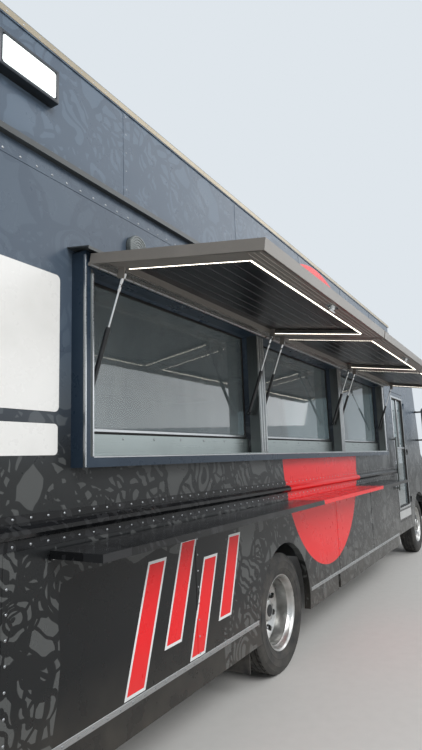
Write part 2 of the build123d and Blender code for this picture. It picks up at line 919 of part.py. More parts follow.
def hood_barrel(y0, y1):
    """Barrel of a hood hinge: truly round on the right, eight-sided on the left."""
    x, z = hood_axis()
    if y0 < 0:
        return cross_rod(x, z, hood_hinge_radius, y0, y1)
    return drum(x, z, hood_hinge_radius, 8, y0, y1)


def hood_hinge_places():
    """Right-hand ends of the two hood hinges."""
    reach = half_width - hood_hinge_inset
    return -reach, reach


def front_hood():
    """Hood lid with its two hinge straps."""
    lid = hood_solid(0)
    x, z = hood_axis()
    tip_x = x + 50
    tip_z = nose_surface_z(tip_x)
    outline = [(x, z - 3), (x, z + 3), (tip_x, tip_z + 6), (tip_x, tip_z - 2)]
    for y in hood_hinge_places():
        end = y + knuckle_height
        lid = lid + side_sheet(outline, y, end) + hood_barrel(y, end)
    return lid


def hood_solid(grow):
    """Service hood on the sloping nose, grown by a clearance for its opening."""
    back = cowl_x + 30
    front = nose_x - nose_bevel
    half = half_width - hood_border + grow
    slope = hood_slope()
    z_back = nose_surface_z(back)
    z_front = nose_surface_z(front)
    thick = 30 if grow == 0 else 160
    lift = 0 if grow == 0 else 20
    return side_sheet(
        [
            (back - grow, z_back + lift), (front - 20 + grow, z_front - slope * 20 + lift),
            (front - 20 + grow, z_front - thick), (back - grow, z_back - thick),
        ],
        -half, half,
    )


def windshield():
    """Raked windshield in two flat panes beside the centre post."""
    low, high = windshield_corners(0)
    pane = [(low.X - 30, low.Z), (low.X - 22, low.Z), (high.X - 22, high.Z), (high.X - 30, high.Z)]
    edge = half_width - screen_border
    return group([
        side_sheet(pane, -edge, -post_width / 2),
        side_sheet(pane, post_width / 2, edge),
    ])


def window_glass():
    """Fixed glass of the serving windows, at the inner face of the wall."""
    pieces = []
    for x0, x1 in bay_spans():
        y1 = -half_width + wall
        pieces.append(block(x0, x1, y1 - glass_thick, y1, glass_bottom_z, bay_top_z))
    return group(pieces)


def window_frame():
    """Box frame that stands out from the wall round the three serving windows."""
    y0, y1 = -half_width - frame_depth, -half_width
    outer = block(frame_rear_x, frame_front_x, y0, y1, frame_bottom_z, frame_top_z)
    hole = block(
        frame_rear_x + jamb_width, frame_front_x - jamb_width, y0 - 10, y1 + 10, sill_z, bay_top_z
    )
    leaf_out = hinge_out - hinge_radius - hinge_clearance
    leaf = block(
        frame_rear_x, frame_front_x, -half_width - leaf_out, y0, hatch_hinge_z - 10, hatch_hinge_z + 10
    )
    return outer - hole + leaf


def strut_places():
    """Places of the gas struts along the truck, as (hatch, x, way to its pillar)."""
    places = []
    for bay, (x0, x1) in enumerate(bay_spans()):
        places.append((bay, x0 + strut_inset, -1))
        places.append((bay, x1 - strut_inset, 1))
    return places


def window_sills():
    """Stainless sill panel and ledge under each window."""
    y0 = -half_width - frame_depth + 6
    pieces = []
    for x0, x1 in bay_spans():
        sill = block(x0, x1, -half_width + 15, -half_width + wall, sill_z, glass_bottom_z)
        pieces.append(sill + block(x0, x1, y0, -half_width + 15, sill_z, sill_z + 8))
    return group(pieces)


def window_pillars():
    """Stainless pillars between the windows, with the struts' lower pins."""
    y0 = -half_width - frame_depth + 6
    pieces = []
    spans = bay_spans()
    for bay, (x0, x1) in enumerate(spans):
        x_end = frame_rear_x + (bay + 1) * bay_pitch
        if bay == bay_count - 1:
            x_end -= jamb_width
        pieces.append(block(x1, x_end, y0, -half_width, sill_z, bay_top_z))
    start = frame_rear_x + jamb_width
    pieces.append(block(start, start + liner_width, y0, -half_width, sill_z, bay_top_z))
    for bay, x, way in strut_places():
        near = x - way * (eye_width / 2 + 2)
        far = x + way * strut_inset
        pieces.append(shaft(-half_width - strut_foot_out, strut_foot_z, pin_radius, 8, *sorted((near, far))))
    return group(pieces)


# Hatches: drawn shut against the frame's front, then swung up to their open place
def hatch_axis():
    """A point on the hatch hinges, in end view."""
    return Vector(0, -half_width - hinge_out, hatch_hinge_z)


def opened(shape):
    """Turn a hatch drawn straight out from its hinge down to its droop."""
    pivot = hatch_axis()
    return Pos(pivot) * Rot(hatch_droop, 0, 0) * Pos(-pivot) * shape


def hatch(bay):
    """Hatch as a shallow tray: skin above, a flat rim below and a recessed panel."""
    x0, x1 = hatch_span(bay)
    pivot = hatch_axis()
    y_in, y_out = pivot.Y, pivot.Y - hatch_length
    z0, z1 = pivot.Z, pivot.Z + hatch_thick
    body = block(x0, x1, y_out, y_in - 2, z0, z1)
    recess = block(
        x0 + hatch_rim, x1 - hatch_rim, y_out + hatch_rim, y_in - hatch_rim, z0 - 1, z0 + hatch_recess
    )
    body = body - recess
    body = body + long_rod(pivot.Y, pivot.Z, hinge_radius, x0, x1)
    for place, x, way in strut_places():
        if place == bay:
            plate_x = x + way * (eye_width / 2 + 4)
            body = body + block(
                plate_x - 3, plate_x + 3, y_in - strut_reach - 16, y_in - strut_reach + 16,
                z0 - strut_drop - 14, z0 + hatch_recess + 2,
            )
    return opened(body)


def strut_ends():
    """Lower pivot and upper eye of a strut in end view, with the hatch open."""
    low = Vector(0, -half_width - strut_foot_out, strut_foot_z)
    pivot = hatch_axis()
    angle = radians(hatch_droop)
    out, up = strut_reach, -strut_drop
    high = Vector(
        0, pivot.Y - out * cos(angle) - up * sin(angle), pivot.Z - out * sin(angle) + up * cos(angle)
    )
    return low, high


def strut_pose():
    """Lower pivot, length and tilt of a strut with the hatch open."""
    low, high = strut_ends()
    run = high - low
    return low, run.length, degrees(atan2(-run.Y, run.Z))


def upright(shape, x):
    """Place a strut piece that is drawn standing on the origin."""
    low, length, tilt = strut_pose()
    return Pos(x, low.Y, low.Z) * Rot(tilt, 0, 0) * shape


def pin_hole(is_round):
    """Cutter for a cylinder's pin hole, truly round or twelve-sided about the same circle."""
    radius = pin_radius + running_fit
    if is_round:
        return Rot(0, 90, 0) * Cylinder(radius, eye_width + 2)
    return shaft(0, 0, radius / cos(pi / 12), 12, -eye_width / 2 - 1, eye_width / 2 + 1)


def strut_cylinders(bay):
    """The two gas cylinders of one hatch, on their lower pins."""
    pieces = []
    for place, x, way in strut_places():
        if place == bay:
            eye = Box(eye_width, 2 * eye_radius, 2 * eye_radius)
            tube = post(0, 0, strut_tube_radius, 8, eye_radius - 4, strut_tube_length + 4)
            bore = post(0, 0, strut_rod_radius + running_fit, 8, 25, strut_tube_length + 25)
            pieces.append(upright(eye + tube - bore - pin_hole(way < 0), x))
    return group(pieces)


def strut_rods(bay):
    """The two rods of one hatch, each ending in an eye beside the hatch's bracket."""
    pieces = []
    low, length, tilt = strut_pose()
    for place, x, way in strut_places():
        if place == bay:
            bottom = 140
            rod = post(0, 0, strut_rod_radius, 8, bottom, length)
            eye = Pos(0, 0, length) * Box(eye_width - 2, 2 * eye_radius - 2, 2 * eye_radius - 2)
            pieces.append(upright(rod + eye, x))
    return group(pieces)


# Customer shelf
def shelf_span():
    """Ends of the customer shelf along the truck."""
    return frame_rear_x - shelf_lead, frame_front_x


def shelf_axis_z():
    """Height of the shelf's hinge."""
    return shelf_top_z - shelf_thick


def customer_shelf():
    """Folding shelf with a turned-down lip, on its long hinge."""
    x0, x1 = shelf_span()
    axis_y = -half_width - shelf_out
    z = shelf_axis_z()
    y_out = -half_width - shelf_depth
    body = block(x0, x1, y_out, axis_y - 2, z, z + shelf_thick)
    body = body - block(x0 + 20, x1 - 20, y_out + 20, axis_y - 30, z - 1, z + shelf_thick - 6)
    return body + long_rod(axis_y, z, hinge_radius, x0, x1)


# Doors
def cab_door(side):
    """Cab door leaf with its tall glass opening and hinge barrels."""
    x0, x1 = door_rear_x + door_clearance, door_front_x - door_clearance
    z0, z1 = door_bottom_z + door_clearance, door_top_z - door_clearance
    y0, y1 = sorted((side * (half_width - door_thick), side * half_width))
    leaf = block(x0, x1, y0, y1, z0, z1)
    edge = door_border
    leaf = leaf - block(x0 + edge, x1 - edge, y0 - 5, y1 + 5, z0 + door_kick, z1 - edge)
    axis_y = side * (half_width + door_hinge_out)
    for number, z in enumerate(hinge_heights(door_bottom_z, door_top_z)):
        leaf = leaf + knuckle_barrel(door_axis_x(), axis_y, z, number == 0)
        strap_y = sorted((side * half_width, axis_y))
        leaf = leaf + block(x1 - 60, x1, *strap_y, z, z + knuckle_height)
        strap_y = sorted((side * (half_width + 3), axis_y))
        leaf = leaf + block(x1 - 1, door_axis_x(), *strap_y, z, z + knuckle_height)
    return leaf


def cab_door_glass(side):
    """Glass of a cab door."""
    edge = door_clearance + door_border
    x0, x1 = door_rear_x + edge, door_front_x - edge
    z0, z1 = door_bottom_z + door_clearance + door_kick, door_top_z - edge
    y0, y1 = sorted((side * (half_width - 30), side * (half_width - 24)))
    return block(x0, x1, y0, y1, z0, z1)


def rear_door():
    """Rear door leaf with its window opening and hinge barrels."""
    half = rear_door_half - door_clearance
    z0, z1 = floor_z + door_clearance, rear_door_top_z - door_clearance
    x0, x1 = rear_face_x, rear_face_x + door_thick
    leaf = block(x0, x1, -half, half, z0, z1)
    edge = half - rear_glass_border
    leaf = leaf - block(x0 - 5, x1 + 5, -edge, edge, rear_glass_bottom_z, rear_glass_top_z)
    axis_x = rear_face_x - door_hinge_out
    for number, z in enumerate(hinge_heights(floor_z, rear_door_top_z)):
        top = z + knuckle_height
        leaf = leaf + knuckle_barrel(axis_x, rear_door_half, z, number == 0)
        leaf = leaf + block(axis_x, rear_face_x, half - 40, half, z, top)
        leaf = leaf + block(axis_x, rear_face_x - 3, half - 1, rear_door_half, z, top)
    return leaf


def rear_door_glass():
    """Glass of the rear door."""
    half = rear_door_half - door_clearance - rear_glass_border
    return block(rear_face_x + 20, rear_face_x + 26, -half, half, rear_glass_bottom_z, rear_glass_top_z)


# Ends and fittings
def bumpers():
    """Front bumper and the rear step bumper on the rails' ends."""
    half = half_width - bumper_inset
    front = block(nose_x, nose_x + bumper_depth, -half, half, bumper_bottom_z, bumper_top_z)
    front = fillet(front.edges().filter_by(Axis.Z).group_by(Axis.X)[-1], bumper_radius)
    half = half_width - step_inset
    x0, x1 = rear_face_x - step_depth, rear_face_x + step_lap
    rear = block(x0, x1, -half, half, step_bottom_z, step_top_z)
    for side in (-1, 1):
        y0, y1 = sorted((side * rail_y, side * (rail_y - rail_width)))
        rear = rear + block(rear_face_x, x1, y0, y1, step_top_z - 1, rail_top)
        y0, y1 = sorted((side * tow_plate_y, side * (tow_plate_y + tow_plate_thick)))
        rear = rear + block(rear_face_x - tow_plate_out, x1, y0, y1, tow_plate_bottom_z, step_bottom_z + 1)
    reach = tow_plate_y + 2 * tow_plate_thick
    rear = rear - cross_rod(rear_face_x - tow_eye_back, tow_eye_z, tow_eye_radius, -reach, reach)
    return group([front, rear])


def grille():
    """Grille: a frame with level bars."""
    x0, x1 = nose_x - 25, nose_x + front_trim_out
    half = half_width - grille_border
    inner = half - grille_edge
    z0, z1 = grille_bottom_z + grille_edge, grille_top_z - grille_edge
    pitch = (z1 - z0) / (grille_bar_count + 1)
    frame = block(x0, x1, -half, half, grille_bottom_z, grille_top_z)
    pieces = [frame - block(x0 - 5, x1 + 5, -inner, inner, z0, z1)]
    for number in range(grille_bar_count):
        z = z0 + pitch * (number + 1) - grille_bar_thick / 2
        pieces.append(block(x0 + 4, x1 - 8, -inner - 5, inner + 5, z, z + grille_bar_thick))
    return fused(pieces)


def headlamps():
    """Headlamp clusters beside the grille."""
    pieces = []
    x0, x1 = nose_x - 45, nose_x + front_trim_out
    for side in (-1, 1):
        pieces.append(block(x0, x1, *headlamp_span(side), lamp_bottom_z, lamp_top_z))
    return group(pieces)


def tail_lamps():
    """Tail lamp clusters on the rear wall."""
    pieces = []
    for side in (-1, 1):
        y = side * (half_width - tail_lamp_inset)
        for number in range(tail_lamp_count):
            z = tail_lamp_z + number * tail_lamp_pitch
            pieces.append(shaft(y, z, tail_lamp_radius, 10, rear_face_x - tail_lamp_out, rear_face_x))
    return group(pieces)


def wall_lamps():
    """Flood lamps on the header and the round lamp over the windows."""
    pieces = []
    z0 = header_base_z + flood_low
    for side in (-1, 1):
        y0, y1 = sorted((side * half_width, side * (half_width + flood_out)))
        for x in (rear_axle_x - flood_setback, raised_front_x - flood_back):
            pieces.append(block(x - flood_half, x + flood_half, y0, y1, z0, z0 + flood_height))
    pieces.append(drum(rear_axle_x - 1710, frame_top_z + 160, 68, 20, -half_width - 25, -half_width))
    outer = half_width - marker_inset
    z0 = header_base_z + 300
    for y in (-outer, -180, 0, 180, outer):
        pieces.append(block(raised_front_x, raised_front_x + 22, y - 45, y + 45, z0, z0 + 40))
    return group(pieces)


def mirrors():
    """Door mirrors on their arms, at the front corners of the cab."""
    x = front_axle_x + mirror_lead
    pairs = []
    for side in (-1, 1):
        head_y = sorted((side * (half_width + mirror_near), side * (half_width + mirror_far)))
        head = block(x, x + mirror_thick, *head_y, mirror_bottom_z, mirror_top_z)
        pieces = [chamfer(head.edges().filter_by(Axis.X), 28)]
        arm_y = sorted((side * half_width, side * (half_width + mirror_arm)))
        for z in (mirror_bottom_z + 60, mirror_top_z - 60):
            pieces.append(block(x + 20, x + 50, *arm_y, z - 12, z + 12))
        pairs.append(fused(pieces))
    return group(pairs)


def cab_fittings():
    """Dash, steering column and wheel, and the seat's pedestal."""
    inner = half_width - wall
    x = front_axle_x + steering_lead
    y = driver_y
    z0, z1 = dash_bottom_z, dash_top_z
    dash = block(front_axle_x + dash_lead, front_axle_x + dash_lead + dash_depth, -inner, inner, z0, z1)
    lean = Rot(0, -steering_lean, 0)
    low, high = steering_radius - 12, steering_radius + 12
    column = Pos(x + 120, y, steering_z - 85) * lean * post(0, 0, 25, 8, -150, 150)
    ring = spun([(low, -12), (high, -12), (high, 12), (low, 12)], 0, 0, 16)
    wheel = Pos(x, y, steering_z) * lean * Rot(90, 0, 0) * ring
    spoke = Pos(x, y, steering_z) * lean * Box(30, 2 * steering_radius - 10, 16)
    seat_x = front_axle_x - seat_setback
    y0, y1 = front_housing_y + 20, front_housing_y + 210
    pedestal = block(seat_x + 170, seat_x + 420, y0, y1, housing_top_z, seat_bottom_z)
    return group([dash + column + wheel + spoke, pedestal])


def driver_seat():
    """Driver's seat: cushion and backrest."""
    x = front_axle_x - seat_setback
    half = seat_width / 2
    y0, y1 = driver_y - half, driver_y + half
    cushion = block(x, x + seat_depth, y0, y1, seat_bottom_z, seat_top_z)
    cushion = chamfer(cushion.edges().filter_by(Axis.Z), 40)
    outline = [(x, seat_top_z), (x + 130, seat_top_z), (x + 40, seat_back_z), (x - 80, seat_back_z)]
    return cushion + side_sheet(outline, y0 + 20, y1 - 20)


def serving_counter():
    """Stainless counter behind the serving windows, on its panels."""
    y0 = -half_width + wall
    y1 = y0 + serving_depth
    x0, x1 = frame_rear_x + 60, frame_front_x - 60
    low = serving_top_z - counter_thick
    body = block(x0, x1, y0, y1, low, serving_top_z)
    for x in panel_places(x0, x1):
        body = body + block(x, x + panel_thick, y0, y1, floor_z, low)
    return body


def panel_places(x0, x1):
    """Rear faces of a counter's panels: at its ends and on both sides of the wheel housing."""
    behind = rear_axle_x - housing_back - panel_thick - 10
    return x0, behind, rear_axle_x + housing_ahead + 40, x1 - panel_thick


def cooking_line():
    """Cooking counter on the left wall with the exhaust hood above it."""
    y1 = half_width - wall
    y0 = y1 - cooking_depth
    x0, x1 = rear_axle_x - cooking_setback, rear_axle_x + cooking_lead
    low = cooking_top_z - counter_thick
    pieces = [block(x0, x1, y0, y1, low, cooking_top_z)]
    for x in panel_places(x0, x1):
        pieces.append(block(x, x + panel_thick, y0, y1, floor_z, low))
    front, brow = y0 + 40, y0 + 250
    z0, lip, z1 = hood_bottom_z, hood_lip_z, hood_top_z
    hood = end_bar([(y1, z0), (front, z0), (front, lip), (brow, z1), (y1, z1)], x0 + 200, x1 - 300)
    skin = hood_sheet
    back, front, brow = y1 - skin, front + skin, brow + skin
    z0, lip, z1 = z0 - 1, lip - 10, z1 - skin
    section = [(back, z0), (front, z0), (front, lip), (brow, z1), (back, z1)]
    return [fused(pieces), hood - end_bar(section, x0 + 200 + skin, x1 - 300 - skin)]


def kitchen_counters():
    """Serving counter, cooking counter and exhaust hood."""
    return group([serving_counter()] + cooking_line())


def roof_fan():
    """Exhaust fan on the roof: kerb, drum and domed cap."""
    x, y, half = rear_axle_x - fan_setback, fan_y, fan_kerb_half
    z0 = header_top_z + fan_kerb_height
    z1 = z0 + fan_drum_height
    z2 = z1 + fan_eaves_height
    kerb = block(x - half, x + half, y - half, y + half, header_top_z, z0)
    housing = post(x, y, fan_drum_radius, fan_sides, z0, z1)
    eaves = post(x, y, fan_cap_radius, fan_sides, z1, z2)
    crown = extrude(Pos(x, y, z2) * RegularPolygon(fan_cap_radius, fan_sides), fan_crown_height, taper=60)
    return kerb + housing + eaves + crown


def build():
    """All nodes by name."""
    nodes = {
        "chassis_rails": chassis_rails(),
        "cross_members": cross_members(),
        "leaf_springs": leaf_springs(),
        "front_axle": front_axle(),
        "rear_axle": rear_axle(),
        "engine_block": engine_block(),
        "fuel_tank": fuel_tank(),
        "exhaust": exhaust(),
        "floor_deck": floor_deck(),
        "wheel_housings": wheel_housings(),
        "right_wall": side_wall(-1),
        "left_wall": side_wall(1),
        "rear_wall": rear_wall(),
        "roof_shell": roof_shell(),
        "cab_shell": cab_shell(),
        "front_hood": front_hood(),
        "windshield": windshield(),
        "window_glass": window_glass(),
        "window_frame": window_frame(),
        "window_pillars": window_pillars(),
        "window_sills": window_sills(),
        "rain_gutters": rain_gutters(),
        "rub_rails": rub_rails(),
        "mud_flaps": mud_flaps(),
        "bumpers": bumpers(),
        "grille": grille(),
        "headlamps": headlamps(),
        "tail_lamps": tail_lamps(),
        "wall_lamps": wall_lamps(),
        "mirrors": mirrors(),
        "cab_fittings": cab_fittings(),
        "driver_seat": driver_seat(),
        "kitchen_counters": kitchen_counters(),
        "roof_fan": roof_fan(),
        "customer_shelf": customer_shelf(),
        "rear_door": rear_door(),
        "rear_door_glass": rear_door_glass(),
    }
    for bay in range(bay_count):
        nodes[f"hatch_{bay + 1}"] = hatch(bay)
        nodes[f"strut_cylinders_{bay + 1}"] = strut_cylinders(bay)
        nodes[f"strut_rods_{bay + 1}"] = strut_rods(bay)
    for name, side in (("right", -1), ("left", 1)):
        nodes[f"cab_door_{name}"] = cab_door(side)
        nodes[f"cab_door_glass_{name}"] = cab_door_glass(side)
        nodes[f"knuckle_{name}"] = knuckle(side)
        nodes[f"front_tyre_{name}"] = tyre(front_axle_x, side * tyre_centre_y)
        nodes[f"front_wheel_{name}"] = front_wheel(side)
        nodes[f"rear_tyres_{name}"] = group(
            [tyre(rear_axle_x, side * tyre_centre_y), tyre(rear_axle_x, side * inner_tyre_y)]
        )
        nodes[f"rear_wheels_{name}"] = rear_wheels(side)
    return nodes


def origin_shift(nodes):
    """Move that puts the origin on the road below the middle of the whole box."""
    box = group(nodes.values()).bounding_box()
    return Vector(-(box.min.X + box.max.X) / 2, -(box.min.Y + box.max.Y) / 2, -box.min.Z)


if __name__ == "__main__":
    os.makedirs("parts", exist_ok=True)
    truck = build()
    shift = origin_shift(truck)
    print("origin shift", shift)
    for name, shape in truck.items():
        export_step(shape.moved(Location(shift)), f"parts/{name}.step")
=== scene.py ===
import json
import logging
from dataclasses import dataclass
from enum import Enum
from math import cos, pi, radians, sin
from typing import Any, Callable, Sequence

import bpy
from mathutils import Matrix, Vector

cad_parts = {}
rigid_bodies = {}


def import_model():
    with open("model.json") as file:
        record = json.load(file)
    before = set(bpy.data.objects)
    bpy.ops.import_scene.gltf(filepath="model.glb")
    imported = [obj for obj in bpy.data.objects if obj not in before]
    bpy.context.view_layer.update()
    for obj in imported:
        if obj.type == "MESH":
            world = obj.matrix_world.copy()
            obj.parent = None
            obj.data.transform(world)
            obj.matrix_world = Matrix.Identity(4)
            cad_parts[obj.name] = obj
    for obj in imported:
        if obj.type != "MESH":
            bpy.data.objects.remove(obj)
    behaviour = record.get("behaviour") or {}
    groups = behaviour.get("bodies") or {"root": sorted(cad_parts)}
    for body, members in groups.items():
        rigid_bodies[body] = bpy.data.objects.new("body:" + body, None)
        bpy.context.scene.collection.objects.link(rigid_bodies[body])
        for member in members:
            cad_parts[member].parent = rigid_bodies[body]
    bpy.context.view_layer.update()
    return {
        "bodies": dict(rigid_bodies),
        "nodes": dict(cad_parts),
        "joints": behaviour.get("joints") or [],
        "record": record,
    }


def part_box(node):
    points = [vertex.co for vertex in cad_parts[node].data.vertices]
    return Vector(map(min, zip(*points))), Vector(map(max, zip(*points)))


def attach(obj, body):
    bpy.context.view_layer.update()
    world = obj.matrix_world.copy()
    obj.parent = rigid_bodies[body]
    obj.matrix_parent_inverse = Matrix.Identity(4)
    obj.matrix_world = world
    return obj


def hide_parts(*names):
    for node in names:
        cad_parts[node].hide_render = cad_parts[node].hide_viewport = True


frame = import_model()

log = logging.getLogger("food_truck")
Place = Sequence[float]
Span = tuple[float, float]
Triple = tuple[float, float, float]
Profile = Sequence[Span]
Piece = bpy.types.Object
Socket = bpy.types.NodeSocket


def linear(code: str) -> tuple[float, float, float, float]:
    """Turn an sRGB hex colour into linear light.

    Args:
        code: Colour such as "#4b4f50".

    Returns:
        Linear red, green, blue and an alpha of 1.
    """
    parts = [int(code[i:i + 2], 16) / 255 for i in (1, 3, 5)]
    red, green, blue = [c / 12.92 if c <= 0.04045 else ((c + 0.055) / 1.055) ** 2.4 for c in parts]
    return red, green, blue, 1.0


def feed(tree: bpy.types.NodeTree, node: bpy.types.Node, inputs: dict[Any, Any]) -> None:
    """Set a node's inputs.

    Args:
        tree: Node tree of the node.
        node: Node that is fed.
        inputs: Socket names or numbers, and the value or the socket that goes in.
    """
    for key, value in inputs.items():
        if isinstance(value, Socket):
            tree.links.new(value, node.inputs[key])
        else:
            node.inputs[key].default_value = value


def put(tree: bpy.types.NodeTree, kind: str, settings: dict[str, Any] | None = None,
        inputs: dict[Any, Any] | None = None) -> bpy.types.Node:
    """Add one shader node.

    Args:
        tree: Node tree that gets the node.
        kind: Blender's name of the node type.
        settings: Properties of the node.
        inputs: Socket names or numbers and what goes in.

    Returns:
        The new node.
    """
    node = tree.nodes.new(kind)
    for key, value in (settings or {}).items():
        setattr(node, key, value)
    feed(tree, node, inputs or {})
    return node


class Side(Enum):
    """Sides of the truck by the sign of Y from its centreline."""

    RIGHT = -1
    LEFT = 1

    @property
    def word(self) -> str:
        """Lower-case name of the side."""
        return self.name.lower()


@dataclass(frozen=True)
class Layout:
    """Main planes of the truck in the row frame, in metres, read from its CAD nodes."""

    middle_y: float
    half_width: float
    rear_x: float
    wall_front_x: float
    nose_x: float
    header_top_z: float
    frame_rear_x: float
    frame_front_x: float
    rear_axle_x: float
    front_axle_x: float
    axle_z: float
    shelf_top_z: float

    @classmethod
    def read(cls) -> "Layout":
        """Read the planes from the boxes of the nodes that carry them."""
        rail, window, rear, front = (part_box(name) for name in (
            "rub_rails", "window_frame", "rear_tyres_right", "front_tyre_right"))
        rail_stands_out = 0.042
        return cls(
            middle_y=(rail[0].y + rail[1].y) / 2,
            half_width=(rail[1].y - rail[0].y) / 2 - rail_stands_out,
            rear_x=rail[0].x,
            wall_front_x=rail[1].x,
            nose_x=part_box("cab_shell")[1].x,
            header_top_z=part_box("roof_shell")[1].z,
            frame_rear_x=window[0].x,
            frame_front_x=window[1].x,
            rear_axle_x=(rear[0].x + rear[1].x) / 2,
            front_axle_x=(front[0].x + front[1].x) / 2,
            axle_z=(rear[0].z + rear[1].z) / 2,
            shelf_top_z=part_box("customer_shelf")[1].z,
        )

    def y(self, offset: float) -> float:
        """Row Y of a distance from the truck's centreline, left positive."""
        return self.middle_y + offset

    def band(self, side: Side, inner: float, outer: float) -> Span:
        """Row Y of a layer between two distances from the centreline on one side, lowest first."""
        first, last = sorted((self.middle_y + side.value * inner, self.middle_y + side.value * outer))
        return first, last


PLAN = Layout.read()


class Bench:
    """Modelling with Blender's own edit tools. Every finished mesh holds its place, its object stays at the origin."""

    @staticmethod
    def mode(name: str) -> None:
        """Change to EDIT or OBJECT mode."""
        bpy.ops.object.mode_set(mode=name)

    @staticmethod
    def clear() -> None:
        """Leave edit mode and deselect everything."""
        if bpy.context.object and bpy.context.object.mode != "OBJECT":
            Bench.mode("OBJECT")
        bpy.ops.object.select_all(action="DESELECT")

    @staticmethod
    def pick(piece: Piece) -> None:
        """Make one object active and the only one selected."""
        Bench.clear()
        piece.select_set(True)
        bpy.context.view_layer.objects.active = piece

    @staticmethod
    def place(piece: Piece) -> Piece:
        """Move a piece's place into its mesh."""
        Bench.pick(piece)
        bpy.ops.object.transform_apply(location=True, rotation=True, scale=True)
        return piece

    @staticmethod
    def apply(piece: Piece, kind: str, **settings: Any) -> Piece:
        """Add one modifier with its settings and apply it."""
        Bench.pick(piece)
        modifier = piece.modifiers.new("step", kind)
        for key, value in settings.items():
            setattr(modifier, key, value)
        bpy.ops.object.modifier_apply(modifier=modifier.name)
        return piece

    @staticmethod
    def smooth(piece: Piece, angle: float = 35.0) -> Piece:
        """Shade a piece smooth except at edges sharper than an angle in degrees."""
        Bench.pick(piece)
        bpy.ops.object.shade_smooth_by_angle(angle=radians(angle))
        return piece

    @staticmethod
    def outward(piece: Piece) -> Piece:
        """Merge doubles and turn the normals outwards."""
        Bench.pick(piece)
        Bench.mode("EDIT")
        bpy.ops.mesh.select_all(action="SELECT")
        bpy.ops.mesh.remove_doubles(threshold=0.00002)
        bpy.ops.mesh.normals_make_consistent(inside=False)
        Bench.mode("OBJECT")
        return piece

    @staticmethod
    def choose(piece: Piece, test: Callable[[Any], bool], kind: str = "FACE") -> None:
        """Enter edit mode with only those faces or edges selected that pass a test.

        Args:
            piece: Piece whose faces or edges are tested.
            test: Says whether one of them is wanted.
            kind: FACE or EDGE.
        """
        Bench.pick(piece)
        Bench.mode("EDIT")
        bpy.ops.mesh.select_mode(type=kind)
        bpy.ops.mesh.select_all(action="DESELECT")
        Bench.mode("OBJECT")
        for part in piece.data.polygons if kind == "FACE" else piece.data.edges:
            part.select = test(part)
        Bench.mode("EDIT")

    @staticmethod
    def bevel(offset: float, segments: int) -> None:
        """Round the selected edges and leave edit mode."""
        bpy.ops.mesh.bevel(offset=offset, segments=segments, affect="EDGES")
        Bench.mode("OBJECT")

    @staticmethod
    def bevel_all(offset: float, segments: int) -> None:
        """Round all edges of the active piece."""
        Bench.mode("EDIT")
        bpy.ops.mesh.select_all(action="SELECT")
        Bench.bevel(offset, segments)

    @staticmethod
    def cube(low: Place, high: Place) -> tuple[Piece, list[float], int]:
        """Lay a plain block between two corners, from which a piece is modelled.

        Args:
            low: Lowest corner.
            high: Highest corner.

        Returns:
            The block, its size and the number of its thinnest axis.
        """
        Bench.clear()
        size = [b - a for a, b in zip(low, high)]
        bpy.ops.mesh.primitive_cube_add(size=1, location=[(a + b) / 2 for a, b in zip(low, high)])
        piece = bpy.context.object
        piece.scale = [max(length, 1e-4) for length in size]
        return Bench.place(piece), size, size.index(min(size))

    @staticmethod
    def block(low: Place, high: Place, bevel: float = 0.002, segments: int = 2) -> Piece:
        """Model a block between two corners with rounded edges.

        Args:
            low: Lowest corner.
            high: Highest corner.
            bevel: Radius of its edges, in metres.
            segments: Steps of the rounding.

        Returns:
            The piece.
        """
        piece, size, _ = Bench.cube(low, high)
        Bench.bevel_all(min(bevel, min(size) * 0.45), segments)
        return Bench.smooth(piece)

    @staticmethod
    def plate(low: Place, high: Place, corner: float, edge: float = 0.0006) -> Piece:
        """Model a plate whose outline has round corners. Its thin axis is found from its size.

        Args:
            low: Lowest corner.
            high: Highest corner.
            corner: Radius of the outline's corners.
            edge: Radius of its face edges.

        Returns:
            The piece.
        """
        piece, _, thin = Bench.cube(low, high)
        at = piece.data.vertices

        def stands(line: bpy.types.MeshEdge) -> bool:
            """Say whether an edge runs through the plate's thickness."""
            return abs(at[line.vertices[0]].co[thin] - at[line.vertices[1]].co[thin]) > 1e-6

        Bench.choose(piece, stands, "EDGE")
        Bench.bevel(corner, 6)
        Bench.choose(piece, lambda face: abs(face.normal[thin]) > 0.9)
        bpy.ops.mesh.inset(thickness=edge * 1.5)
        Bench.mode("OBJECT")
        return Bench.smooth(Bench.outward(piece), 50)

    @staticmethod
    def ring(low: Place, high: Place, border: float, bevel: float = 0.0015) -> Piece:
        """Model a rectangular ring, such as a gasket, between two corners.

        Args:
            low: Lowest corner.
            high: Highest corner.
            border: Width of the ring's sides.
            bevel: Radius of its edges.

        Returns:
            The piece.
        """
        piece, size, thin = Bench.cube(low, high)
        Bench.choose(piece, lambda face: abs(face.normal[thin]) > 0.9)
        bpy.ops.mesh.inset(thickness=border)
        bpy.ops.mesh.bridge_edge_loops()
        Bench.mode("OBJECT")
        Bench.outward(piece)
        Bench.bevel_all(min(bevel, border * 0.4, size[thin] * 0.4), 1)
        return Bench.smooth(piece)

